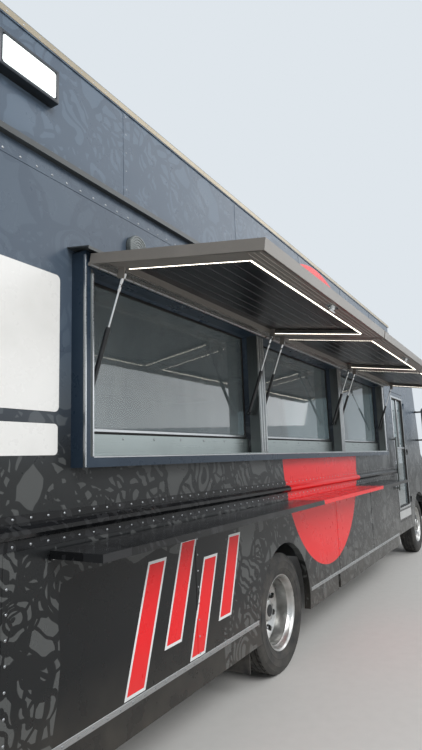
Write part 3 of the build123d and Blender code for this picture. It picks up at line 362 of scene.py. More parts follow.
    @staticmethod
    def rod(start: Place, end: Place, radius: float, segments: int = 20, bevel: float = 0.001) -> Piece:
        """Model a round bar between two points with rounded ends.

        Args:
            start: Middle of one end.
            end: Middle of the other end.
            radius: Radius of the bar.
            segments: Sides round the bar.
            bevel: Radius of its end edges.

        Returns:
            The piece.
        """
        Bench.clear()
        a, b = Vector(start), Vector(end)
        run = b - a
        heading = run.normalized()
        bpy.ops.mesh.primitive_cylinder_add(vertices=segments, radius=radius, depth=run.length, location=(a + b) / 2)
        piece = bpy.context.object
        piece.rotation_mode = "QUATERNION"
        piece.rotation_quaternion = Vector((0, 0, 1)).rotation_difference(heading)
        Bench.place(piece)
        Bench.choose(piece, lambda face: abs(face.normal.dot(heading)) > 0.9)
        Bench.bevel(min(bevel, radius * 0.4, run.length * 0.3), 1)
        return Bench.smooth(piece)

    @staticmethod
    def lathe(centre: Place, axis: Place, profile: Profile, segments: int = 64, closed: bool = False,
              angle: float = 35.0) -> Piece:
        """Turn a profile by extruding and scaling a ring of edges step by step.

        Args:
            centre: Point on the axis from which the profile's second number counts.
            axis: Direction of the axis.
            profile: Radius and distance along the axis of each step.
            segments: Sides round the axis.
            closed: Join the last ring to the first instead of capping both ends.
            angle: Sharpest angle that is shaded smooth.

        Returns:
            The piece.
        """
        Bench.clear()
        origin, heading = Vector(centre), Vector(axis).normalized()
        radius, along = profile[0]
        turn = Vector((0, 0, 1)).rotation_difference(heading).to_euler()
        bpy.ops.mesh.primitive_circle_add(vertices=segments, radius=radius, fill_type="NOTHING",
                                          location=origin + heading * along, rotation=turn)
        piece = Bench.place(bpy.context.object)
        Bench.mode("EDIT")
        bpy.ops.mesh.select_mode(type="VERT")
        bpy.ops.mesh.select_all(action="SELECT")
        if not closed:
            bpy.ops.mesh.edge_face_add()
            bpy.ops.mesh.select_all(action="SELECT")
        for next_radius, next_along in list(profile[1:]) + ([profile[0]] if closed else []):
            bpy.ops.mesh.extrude_region_move(TRANSFORM_OT_translate={"value": heading * (next_along - along)})
            size = next_radius / radius
            bpy.ops.transform.resize(value=(size, size, size), center_override=origin + heading * next_along)
            radius, along = next_radius, next_along
        Bench.mode("OBJECT")
        return Bench.smooth(Bench.outward(piece), angle)

    @staticmethod
    def row(piece: Piece, count: int, step: Place) -> Piece:
        """Repeat a piece in a straight row with an applied Array.

        Args:
            piece: What is repeated.
            count: How many there are.
            step: Offset from one to the next.

        Returns:
            The same object with the whole row in its mesh.
        """
        if count < 2:
            return piece
        return Bench.apply(piece, "ARRAY", count=count, use_relative_offset=False, use_constant_offset=True,
                           constant_offset_displace=step)

    @staticmethod
    def cut(piece: Piece, cutter: Piece) -> Piece:
        """Cut one piece with another and delete the cutter."""
        Bench.apply(piece, "BOOLEAN", operation="DIFFERENCE", solver="EXACT", object=cutter)
        bpy.data.objects.remove(cutter)
        return piece

    @staticmethod
    def moved(piece: Piece, matrix: Matrix) -> Piece:
        """Copy a piece with its own mesh and put the copy elsewhere.

        Args:
            piece: What is copied.
            matrix: The copy's move in the row frame.

        Returns:
            The copy.
        """
        Bench.clear()
        copy = piece.copy()
        copy.data = piece.data.copy()
        bpy.context.scene.collection.objects.link(copy)
        copy.matrix_world = matrix
        Bench.place(copy)
        if matrix.determinant() < 0:
            Bench.outward(copy)
        return copy

    @staticmethod
    def turn(angle: float, centre: Place, axis: Place) -> Matrix:
        """Matrix of a turn by an angle in radians about a line."""
        origin = Matrix.Translation(Vector(centre))
        return origin @ Matrix.Rotation(angle, 4, Vector(axis)) @ origin.inverted()

    @staticmethod
    def round(piece: Piece, count: int, centre: Place, axis: Place) -> Piece:
        """Repeat a piece evenly round an axis and join the copies.

        Args:
            piece: What is repeated.
            count: How many there are.
            centre: Point on the axis.
            axis: Direction of the axis.

        Returns:
            One object with all of them.
        """
        turns = [Bench.turn(2 * pi * number / count, centre, axis) for number in range(1, count)]
        return Bench.join([piece] + [Bench.moved(piece, turn) for turn in turns])

    @staticmethod
    def join(pieces: Sequence[Piece]) -> Piece:
        """Join pieces into the first of them."""
        Bench.clear()
        for piece in pieces:
            piece.select_set(True)
        bpy.context.view_layer.objects.active = pieces[0]
        if len(pieces) > 1:
            bpy.ops.object.join()
        return bpy.context.object

    @staticmethod
    def swing(piece: Piece, pivot: Place, axis: Place, degrees: float) -> Piece:
        """Turn a piece about a line and keep its place in its mesh."""
        piece.matrix_world = Bench.turn(radians(degrees), pivot, axis)
        return Bench.place(piece)


def on_side(shape: Callable[..., Piece], side: Side, x: Span, out: Span, z: Span, *sizes: float) -> Piece:
    """Model a block, plate or ring at one side of the truck.

    Args:
        shape: Method of the bench that models it.
        side: Side of the truck.
        x: Its start and end along the truck.
        out: Its nearest and farthest distance from the centreline.
        z: Its lowest and highest level.
        sizes: Further sizes that the method takes.

    Returns:
        The piece.
    """
    low, high = PLAN.band(side, *out)
    return shape((x[0], low, z[0]), (x[1], high, z[1]), *sizes)


def dress(name: str, pieces: Piece | Sequence[Piece], finish: "Finish", body: str = "truck") -> Piece:
    """Join pieces under a name, give them their finish, let them ride on a CAD body and log them.

    Args:
        name: Name of the finished piece.
        pieces: One piece or several.
        finish: Finish whose material they get.
        body: CAD body that carries them.

    Returns:
        The finished piece.
    """
    piece = pieces if isinstance(pieces, Piece) else Bench.join(pieces)
    piece.name = name
    piece.data.name = name
    piece.data.materials.clear()
    piece.data.materials.append(finish.material())
    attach(piece, body)
    log.info("%s: %d faces on %s", name, len(piece.data.polygons), body)
    return piece


class Net:
    """Shader network of one material in short calls. Colours are hex codes or sockets."""

    def __init__(self, tree: bpy.types.NodeTree) -> None:
        """Start from a Principled shader and from Object coordinates in metres."""
        tree.nodes.clear()
        self.tree = tree
        self.shader = put(tree, "ShaderNodeBsdfPrincipled")
        put(tree, "ShaderNodeOutputMaterial", inputs={"Surface": self.shader.outputs[0]})
        self.place = put(tree, "ShaderNodeTexCoord").outputs["Object"]

    def finish(self, **inputs: Any) -> None:
        """Feed the shader's inputs, named with _ for a space."""
        feed(self.tree, self.shader, {name.replace("_", " "): value for name, value in inputs.items()})

    def math(self, operation: str, *values: Any) -> Socket:
        """Calculate with numbers."""
        return put(self.tree, "ShaderNodeMath", {"operation": operation}, dict(enumerate(values))).outputs[0]

    def vector(self, operation: str, *values: Any, output: int = 0) -> Socket:
        """Calculate with vectors. Output 1 is the number that some operations give."""
        node = put(self.tree, "ShaderNodeVectorMath", {"operation": operation}, dict(enumerate(values)))
        return node.outputs[output]

    def split(self, point: Socket) -> bpy.types.NodeOutputs:
        """Split a point into x, y and z."""
        return put(self.tree, "ShaderNodeSeparateXYZ", inputs={"Vector": point}).outputs

    def flat(self, x: Socket, z: Socket) -> Socket:
        """Make a point of the side's plane from X and Z."""
        return put(self.tree, "ShaderNodeCombineXYZ", inputs={"X": x, "Z": z}).outputs[0]

    def stretch(self, scale: Triple) -> Socket:
        """Scale the coordinates by axis."""
        return put(self.tree, "ShaderNodeMapping", inputs={"Vector": self.place, "Scale": scale}).outputs[0]

    def noise(self, scale: float, detail: float, roughness: float = 0.5, place: Socket | None = None,
              output: str = "Fac") -> Socket:
        """Add cloudy noise, 1 / scale metres wide.

        Args:
            scale: Clouds in a metre.
            detail: Octaves of finer clouds.
            roughness: Share of the finer clouds.
            place: Coordinates other than the usual ones.
            output: Fac, or Color for three numbers at once.

        Returns:
            The noise.
        """
        return put(self.tree, "ShaderNodeTexNoise", inputs={
            "Vector": self.place if place is None else place, "Scale": scale, "Detail": detail,
            "Roughness": roughness}).outputs[output]

    def cells(self, scale: float, feature: str, place: Socket | None = None) -> bpy.types.NodeOutputs:
        """Add Voronoi cells."""
        return put(self.tree, "ShaderNodeTexVoronoi", {"feature": feature},
                   {"Vector": self.place if place is None else place, "Scale": scale}).outputs

    def wave(self, axis: str, place: Socket | None = None, **inputs: float) -> Socket:
        """Add a wave texture along an axis."""
        feeds = {name.replace("_", " "): value for name, value in inputs.items()}
        return put(self.tree, "ShaderNodeTexWave", {"bands_direction": axis},
                   {"Vector": self.place if place is None else place, **feeds}).outputs["Fac"]

    def spread(self, value: Socket, low: float, high: float, start: float = 0.0, end: float = 1.0,
               kind: str = "LINEAR") -> Socket:
        """Map one range of numbers to another.

        Args:
            value: What is mapped.
            low: Number that gives the start.
            high: Number that gives the end.
            start: First result.
            end: Last result.
            kind: LINEAR or SMOOTHSTEP.

        Returns:
            The result.
        """
        return put(self.tree, "ShaderNodeMapRange", {"interpolation_type": kind}, {
            "Value": value, "From Min": low, "From Max": high, "To Min": start, "To Max": end}).outputs[0]

    def mix(self, share: Socket, *colours: Any) -> Socket:
        """Blend two colours."""
        first, second = (linear(colour) if isinstance(colour, str) else colour for colour in colours)
        return put(self.tree, "ShaderNodeMix", {"data_type": "RGBA"}, {0: share, 6: first, 7: second}).outputs[2]

    def coat(self, share: Socket, *colours: Any) -> None:
        """Blend two colours into the shader's colour."""
        self.finish(Base_Color=self.mix(share, *colours))

    def sheen(self, cloud: Socket, roughness: float, less: float, more: float) -> None:
        """Let the roughness vary with a cloud, by so much below and above its middle."""
        self.finish(Roughness=self.spread(cloud, 0.0, 1.0, roughness - less, roughness + more))

    def bump(self, strength: float, distance: float, height: Socket) -> None:
        """Raise the surface, by a distance in metres."""
        self.finish(Normal=put(self.tree, "ShaderNodeBump", inputs={
            "Strength": strength, "Distance": distance, "Height": height}).outputs[0])


@dataclass(frozen=True)
class Finish:
    """One named procedural material."""

    name: str

    def material(self) -> bpy.types.Material:
        """Return the material, built once."""
        found = bpy.data.materials.get(self.name)
        if found:
            return found
        material = bpy.data.materials.new(self.name)
        material.use_nodes = True
        self.paint(Net(material.node_tree))
        return material

    def paint(self, net: Net) -> None:
        """Build the finish on a network's shader."""
        raise NotImplementedError


# Red discs of the wrap on the serving side: x, z, radius and the levels between which they are printed, in metres
RED_DISCS = ((-0.56, 1.55, 0.97, 0.0, 1.5), (-0.47, 1.80, 1.47, 2.79, 3.4))
# Black field and its leaning red bars: lowest and highest x, lowest and highest z, in metres
BLACK_FIELD = (-3.62, -2.35, 0.2, 1.16)
RED_BARS = ((-3.52, -3.40, 0.50, 1.02), (-3.26, -3.14, 0.62, 1.08), (-3.00, -2.88, 0.50, 0.96),
            (-2.74, -2.62, 0.62, 1.04))


@dataclass(frozen=True)
class WrapVinyl(Finish):
    """Cast vinyl wrap with a matt laminate: a charcoal print of loose line work, with a painted sky reflection that
    lightens it towards the roof.
    """

    ground: str = "#4a4c4c"
    # The upper wall's tone, the header band's tone (top) and the paler upper line colour further down are a painted sky
    # reflection.
    upper: str = "#4c5865"
    top: str = "#566473"
    line: str = "#121416"
    line_top: str = "#3f4a58"
    red: str = "#e01c22"
    pale: str = "#d9dcdd"
    roof: str = "#70767a"
    roof_band: float = 0.003
    motif_mm: float = 210.0
    roughness: float = 0.26

    def lines(self, net: Net) -> Socket:
        """Draw the line work: cells whose rims, rings, stripes and hatching differ by each cell's own colour.

        Args:
            net: Material's network.

        Returns:
            Mask of the ink, 1 on a line.
        """
        scale = 1000.0 / self.motif_mm
        bent = net.vector("MULTIPLY_ADD", net.noise(4.0, 2.0, output="Color"), (0.2, 0.2, 0.2), net.place)
        cell = net.cells(scale, "F1", bent)
        lot = put(net.tree, "ShaderNodeSeparateColor", inputs={"Color": cell["Color"]}).outputs
        rim = net.cells(scale, "DISTANCE_TO_EDGE", bent)["Distance"]
        lines = net.spread(rim, 0.055, 0.075, 1.0, 0.0, "SMOOTHSTEP")
        ring = net.math("SINE", net.math("MULTIPLY", cell["Distance"], 30.0))
        band = net.wave("DIAGONAL", bent, Scale=9.0, Distortion=4.0, Detail=1.0, Detail_Scale=2.0)
        small = net.cells(scale * 2.6, "DISTANCE_TO_EDGE", bent)["Distance"]
        for test, value, limit, chance, share in (("GREATER_THAN", ring, 0.2, lot[0], 0.62),
                                                  ("GREATER_THAN", band, 0.55, lot[1], 0.58),
                                                  ("LESS_THAN", small, 0.09, lot[2], 0.55)):
            drawn = net.math("MULTIPLY", net.math(test, value, limit), net.math("GREATER_THAN", chance, share))
            lines = net.math("MAXIMUM", lines, drawn)
        return lines

    def inside(self, net: Net, flat: Socket, box: Place, spare: float = 0.0) -> Socket:
        """Mask an upright rectangle of the side.

        Args:
            net: Material's network.
            flat: Place along X and Z.
            box: Lowest and highest x, lowest and highest z.
            spare: How much wider the mask is all round.

        Returns:
            Mask, 1 inside.
        """
        x0, x1, z0, z1 = box
        away = net.vector("ABSOLUTE", net.vector("SUBTRACT", flat, ((x0 + x1) / 2, 0.0, (z0 + z1) / 2)))
        reach = net.split(net.vector("SUBTRACT", away, ((x1 - x0) / 2 + spare, 1.0, (z1 - z0) / 2 + spare)))
        return net.math("LESS_THAN", net.math("MAXIMUM", reach[0], reach[2]), 0.0)

    def motifs(self, net: Net, colour: Socket) -> Socket:
        """Print the plain motifs of the serving side: a black field, red bars with pale rims, and red discs.

        Args:
            net: Material's network.
            colour: Colour so far.

        Returns:
            Colour with the motifs.
        """
        x, y, z = net.split(net.place)
        near = net.math("LESS_THAN", y, PLAN.middle_y)
        flat = net.flat(x, z)
        rough = net.vector("MULTIPLY_ADD", net.noise(3.0, 1.0, output="Color"), (0.22, 0.0, 0.22), flat)
        leaning = net.flat(net.math("MULTIPLY_ADD", z, -0.34, x), z)
        prints = [(self.inside(net, rough, BLACK_FIELD), self.line)]
        for bar in RED_BARS:
            prints += [(self.inside(net, leaning, bar, 0.014), self.pale), (self.inside(net, leaning, bar), self.red)]
        for disc_x, disc_z, radius, low, high in RED_DISCS:
            away = net.vector("DISTANCE", flat, (disc_x, 0.0, disc_z), output=1)
            level = self.inside(net, flat, (-9.0, 9.0, low, high))
            prints.append((net.math("MULTIPLY", net.math("LESS_THAN", away, radius), level), self.red))
        for mask, code in prints:
            colour = net.mix(net.math("MULTIPLY", mask, near), colour, code)
        return colour

    def paint(self, net: Net) -> None:
        """Build the print with a painted sky reflection that lightens it and fades its lines towards the roof, with
        road dust below and plain grey on the roof.
        """
        z = net.split(net.place)[2]
        # Painted sky reflection: the ground lightens above 1.45 m and again on the header band.
        height = net.spread(z, 1.45, 2.1, kind="SMOOTHSTEP")
        ground = net.mix(height, self.ground, self.upper)
        ground = net.mix(net.spread(z, 2.76, 2.86), ground, self.top)
        # Painted sky reflection: the lines fade and turn paler higher up.
        drawn = net.math("MULTIPLY", self.lines(net), net.spread(z, 1.0, 2.4, 0.95, 0.5))
        colour = net.mix(drawn, ground, net.mix(height, self.line, self.line_top))
        colour = self.motifs(net, colour)
        grit = net.noise(9.0, 6.0)
        colour = net.mix(net.math("MULTIPLY", net.spread(z, 0.35, 0.7, 0.35, 0.0), grit), colour, "#6f695f")
        sheen = net.spread(grit, 0.0, 1.0, self.roughness - 0.06, self.roughness + 0.12)
        roof = net.math("GREATER_THAN", z, PLAN.header_top_z - self.roof_band)
        net.coat(roof, colour, self.roof)
        net.bump(0.12, 0.02, net.noise(1.6, 1.0))
        net.finish(Roughness=net.math("MULTIPLY_ADD", roof, 0.35, sheen), Specular_IOR_Level=0.28)


@dataclass(frozen=True)
class SprayPaint(Finish):
    """Sprayed enamel with orange peel, fine dust in it and rubbed, paler patches."""

    colour: str = "#16181a"
    worn: str = "#3a3d40"
    roughness: float = 0.32
    wear: float = 0.35
    specular: float = 0.5

    def paint(self, net: Net) -> None:
        """Build the paint with clouds of wear and a fine peel of about 3 mm."""
        cloud = net.noise(7.0, 8.0, 0.65)
        net.coat(net.spread(cloud, 0.5, 0.75, 0.0, self.wear), self.colour, self.worn)
        net.sheen(cloud, self.roughness, 0.08, 0.14)
        net.bump(0.08, 0.001, net.noise(330.0, 1.0))
        net.finish(Specular_IOR_Level=self.specular)


class Grain(Enum):
    """Direction in which a brushed metal was rubbed, as the scale of its scratches by axis."""

    ALONG = (3.0, 500.0, 500.0)
    UP = (500.0, 500.0, 3.0)


@dataclass(frozen=True)
class BrushedMetal(Finish):
    """Brushed sheet metal: fine scratches one way, fingermarks and a soft sheen."""

    colour: str = "#aeb0ae"
    shade: str = "#8f9291"
    roughness: float = 0.3
    grain: Grain = Grain.ALONG

    def paint(self, net: Net) -> None:
        """Build the brushing from noise that is stretched along the grain, about 2 mm from line to line."""
        lines = net.noise(1.0, 3.0, place=net.stretch(self.grain.value))
        net.coat(net.noise(4.0, 5.0), self.colour, self.shade)
        net.sheen(lines, self.roughness, 0.1, 0.12)
        net.bump(0.06, 0.0006, lines)
        net.finish(Metallic=1.0)


@dataclass(frozen=True)
class CastMetal(Finish):
    """Rolled or forged steel with mill scale, road dust and a little rust."""

    colour: str = "#232527"
    rust: str = "#5a4334"
    amount: float = 0.35
    roughness: float = 0.6
    metallic: float = 0.25

    def paint(self, net: Net) -> None:
        """Build blotches of rust some 50 mm wide over a pitted surface."""
        blotch = net.noise(18.0, 9.0, 0.7)
        net.coat(net.spread(blotch, 0.52, 0.72, 0.0, self.amount), self.colour, self.rust)
        net.sheen(blotch, self.roughness, 0.1, 0.2)
        net.bump(0.25, 0.002, net.noise(160.0, 4.0))
        net.finish(Metallic=self.metallic)


@dataclass(frozen=True)
class PolishedAlloy(Finish):
    """Forged aluminium wheel, machine turned: faint rings round the axle, brake dust in clouds."""

    axle_x: float = 0.0
    axle_z: float = 0.405
    colour: str = "#c4c4c2"
    dust: str = "#6f6a62"

    def paint(self, net: Net) -> None:
        """Build the turning lines, about 4 mm apart so that they show, and clouds of dust."""
        x, _, z = net.split(net.place)
        offset = net.vector("SUBTRACT", net.flat(x, z), (self.axle_x, 0, self.axle_z))
        away = net.vector("LENGTH", offset, output=1)
        cloud = net.noise(14.0, 7.0)
        net.coat(net.spread(cloud, 0.45, 0.8, 0.05, 0.7), self.colour, self.dust)
        net.bump(0.05, 0.0005, net.math("SINE", net.math("MULTIPLY", away, 1570.0)))
        net.finish(Roughness=net.spread(cloud, 0.0, 1.0, 0.16, 0.5), Metallic=1.0)


@dataclass(frozen=True)
class Rubber(Finish):
    """Vulcanised rubber: dull black with grey dust where the road reaches it."""

    colour: str = "#1d1e1f"
    dust: str = "#6f6b64"
    amount: float = 0.4
    roughness: float = 0.75

    def paint(self, net: Net) -> None:
        """Build dust in clouds of about 100 mm over a fine grain."""
        cloud = net.noise(11.0, 7.0, 0.6)
        net.coat(net.spread(cloud, 0.35, 0.75, 0.0, self.amount), self.colour, self.dust)
        net.sheen(cloud, self.roughness, 0.1, 0.15)
        net.bump(0.15, 0.0008, net.noise(420.0, 2.0))


@dataclass(frozen=True)
class ClearGlass(Finish):
    """Toughened float glass, lightly tinted, with a film of dust and wiped streaks, and an opaque pale share that
    paints a reflection on it.
    """

    tint: str = "#93a2a8"
    film: float = 0.05
    # Opaque pale share of the glass: a painted reflection that brightens it.
    solid: float = 0.28

    def paint(self, net: Net) -> None:
        """Build the glass with smears some 200 mm long."""
        cloud = net.noise(3.0, 6.0, place=net.stretch((4.0, 4.0, 1.5)))
        net.coat(cloud, self.tint, "#b4bfc1")
        # The part of the glass that does not transmit shows its pale colour as a painted reflection.
        net.finish(Roughness=net.spread(cloud, 0.4, 0.8, 0.015, self.film), IOR=1.5,
                   Transmission_Weight=1.0 - self.solid)


@dataclass(frozen=True)
class LampLens(Finish):
    """Moulded acrylic lens with fine ribs over a bright reflector."""

    colour: str = "#a01318"
    rib_mm: float = 8.0
    clear: float = 0.35

    def paint(self, net: Net) -> None:
        """Build the ribs as level waves, with a faint mottle in the colour."""
        dark = tuple(c * 0.72 for c in linear(self.colour)[:3]) + (1.0,)
        net.coat(net.noise(25.0, 4.0), self.colour, dark)
        net.bump(0.35, 0.002, net.wave("Z", Scale=1000.0 / self.rib_mm / 6.2832 * 2.0, Distortion=0.0))
        net.finish(Roughness=0.12, IOR=1.49, Transmission_Weight=self.clear, Emission_Color=linear(self.colour),
                   Emission_Strength=0.0)


@dataclass(frozen=True)
class Moulding(Finish):
    """Moulded plastic with a fine leather-like grain."""

    colour: str = "#1b1c1e"
    shade: str = "#2b2d30"
    roughness: float = 0.5
    grain_mm: float = 2.0

    def paint(self, net: Net) -> None:
        """Build the grain from small cells and a slow change of colour."""
        cloud = net.noise(12.0, 5.0)
        net.coat(cloud, self.colour, self.shade)
        net.sheen(cloud, self.roughness, 0.08, 0.1)
        net.bump(0.1, 0.0006, net.cells(1000.0 / self.grain_mm / 2.0, "SMOOTH_F1")["Distance"])


@dataclass(frozen=True)
class Glow(Finish):
    """Lit diode or diffuser: a bright face with a faint mottle."""

    colour: str = "#fff6e4"
    strength: float = 1.6

    def paint(self, net: Net) -> None:
        """Build the glow with the mottle of the diffuser."""
        dim = tuple(c * 0.86 for c in linear(self.colour)[:3]) + (1.0,)
        colour = net.mix(net.noise(60.0, 2.0), self.colour, dim)
        net.finish(Base_Color=colour, Emission_Color=colour, Roughness=0.3, Emission_Strength=self.strength)


@dataclass(frozen=True)
class SeatCloth(Finish):
    """Woven seat cloth, about 4 mm from thread to thread so that the weave shows."""

    colour: str = "#24272b"
    thread: str = "#3b4047"

    def paint(self, net: Net) -> None:
        """Build the weave from two crossed waves."""
        weave = net.math("MULTIPLY", net.wave("X", Scale=80.0), net.wave("Y", Scale=80.0))
        net.coat(weave, self.colour, self.thread)
        net.bump(0.4, 0.001, weave)
        net.finish(Roughness=0.9, Sheen_Weight=0.3)


class Palette:
    """The truck's finishes by name."""

    WRAP = WrapVinyl("printed vinyl wrap")
    BLACK = SprayPaint("black two-pack enamel", colour="#1b1e21", worn="#363a3e")
    FRAME = SprayPaint("slate window frame enamel", colour="#263341", worn="#32404e", roughness=0.26, specular=0.25)
    CAP = SprayPaint("drip cap enamel", colour="#3b3e3f", worn="#55595b")
    HATCH = SprayPaint("grey hatch enamel", colour="#736f6a", worn="#88837d", roughness=0.36)
    STEEL_ALONG = BrushedMetal("brushed stainless along")
    STEEL_UP = BrushedMetal("brushed stainless upright", colour="#8f928f", shade="#74797a", grain=Grain.UP)
    SILL = BrushedMetal("brushed stainless sill", colour="#9aa2a1", shade="#838b8a")
    UNDERSIDE = CastMetal("chassis steel in black wax")
    IRON = CastMetal("cast iron", colour="#4a4b4c", rust="#6b4a36", amount=0.3, roughness=0.7)
    PIPE = CastMetal("aluminised exhaust steel", colour="#6e6a66", rust="#7a4b33", amount=0.55, metallic=0.7)
    DECK = BrushedMetal("floor aluminium", colour="#a4a6a8", shade="#83868a", roughness=0.45)
    TYRE = Rubber("tyre rubber")
    SEAL = Rubber("rubber seal", colour="#141516", amount=0.12)
    FLAP = Rubber("flap rubber", colour="#1a1a1b", amount=0.5)
    GLASS = ClearGlass("tinted window glass")
    # The windscreen has a smaller opaque share of painted reflection.
    SCREEN = ClearGlass("laminated windscreen glass", tint="#b4c4c2", solid=0.1)
    RED_LENS = LampLens("red acrylic lens")
    AMBER_LENS = LampLens("amber acrylic lens", colour="#d4731a")
    CLEAR_LENS = LampLens("clear polycarbonate lens", colour="#dfe5e8", clear=0.8)
    SMOKED_LENS = LampLens("smoked acrylic lens", colour="#6d7474", rib_mm=12.0, clear=0.2)
    PLASTIC = Moulding("black ABS moulding")
    DASH = Moulding("dark grey dashboard moulding", colour="#2a2c2e", shade="#383a3d", roughness=0.6)
    CHROME = BrushedMetal("chromed rod", colour="#d8dadb", shade="#c3c6c8", roughness=0.14)
    CLOTH = SeatCloth("woven seat cloth")
    ZINC = BrushedMetal("zinc plated fasteners", colour="#a9abad", shade="#85888b", roughness=0.38)
    ALUMINIUM = BrushedMetal("anodised aluminium trim", colour="#bfc1c2", shade="#9fa2a4", roughness=0.28)
    HEM = BrushedMetal("folded steel hem", colour="#a39d97", shade="#827c76", roughness=0.34)
    # Stainless darkened to paint the shade under the hatches.
    LINER = BrushedMetal("dark stainless liner", colour="#4b4a4f", shade="#37363b")
    SHELF_EDGE = SprayPaint("shelf edge enamel", colour="#1d1c1c", worn="#4a4846", roughness=0.3, wear=0.5)
    WHITE_PANEL = SprayPaint("white sign panel", colour="#d9d9d7", worn="#cececb", roughness=0.25, wear=0.5)
    LAMP_RIM = SprayPaint("lamp rim enamel", colour="#2b3037", worn="#59636c", roughness=0.3)
    DIODE = Glow("lit diodes", strength=4.0)
    WHITE_LIGHT = Glow("lit white diffuser", colour="#eef7f5", strength=0.75)
    MIRROR = BrushedMetal("silvered mirror glass", colour="#e4e8ea", shade="#d6dbde", roughness=0.12)
    EDGE = BrushedMetal("sun-bleached aluminium roof edge", colour="#b3a894", shade="#8d8474", roughness=0.4)
    CHEQUER = BrushedMetal("chequered aluminium strip", colour="#a9a6a2", shade="#7f7b77", roughness=0.25)
    GLOSS_WRAP = WrapVinyl("gloss vinyl wrap on rails", ground="#28292b", upper="#28292b", line="#141517",
                           line_top="#141517", roughness=0.2)
    FRONT_ALLOY = PolishedAlloy("polished front alloy", axle_x=PLAN.front_axle_x)
    REAR_ALLOY = PolishedAlloy("polished rear alloy", axle_x=PLAN.rear_axle_x)


NODE_FINISHES: tuple[tuple[Finish, str], ...] = (
    (Palette.WRAP, "right_wall left_wall rear_wall roof_shell cab_shell front_hood rear_door"),
    (Palette.WRAP, "cab_door_right cab_door_left"),
    (Palette.FRAME, "window_frame"),
    (Palette.CAP, "rain_gutters"),
    (Palette.STEEL_UP, "window_pillars"),
    (Palette.SILL, "window_sills"),
    (Palette.STEEL_ALONG, "kitchen_counters"),
    (Palette.GLOSS_WRAP, "customer_shelf rub_rails"),
    (Palette.GLASS, "window_glass rear_door_glass cab_door_glass_right cab_door_glass_left"),
    (Palette.SCREEN, "windshield"),
    (Palette.UNDERSIDE, "chassis_rails cross_members leaf_springs front_axle rear_axle knuckle_right knuckle_left"),
    (Palette.BLACK, "bumpers grille wall_lamps mirrors strut_cylinders_1 strut_cylinders_2 strut_cylinders_3"),
    (Palette.IRON, "engine_block"),
    (Palette.PIPE, "exhaust"),
    (Palette.DECK, "fuel_tank floor_deck wheel_housings roof_fan"),
    (Palette.FLAP, "mud_flaps"),
    (Palette.CLEAR_LENS, "headlamps"),
    (Palette.RED_LENS, "tail_lamps"),
    (Palette.DASH, "cab_fittings"),
    (Palette.CLOTH, "driver_seat"),
    (Palette.TYRE, "front_tyre_right front_tyre_left rear_tyres_right rear_tyres_left"),
    (Palette.FRONT_ALLOY, "front_wheel_right front_wheel_left"),
    (Palette.REAR_ALLOY, "rear_wheels_right rear_wheels_left"),
    (Palette.HATCH, "hatch_1 hatch_2 hatch_3"),
    (Palette.CHROME, "strut_rods_1 strut_rods_2 strut_rods_3"),
)


def paint_nodes() -> None:
    """Give every CAD node its finish."""
    for finish, names in NODE_FINISHES:
        for name in names.split():
            piece = bpy.data.objects[name]
            piece.data.materials.clear()
            piece.data.materials.append(finish.material())
            log.info("%s: %s", name, finish.name)


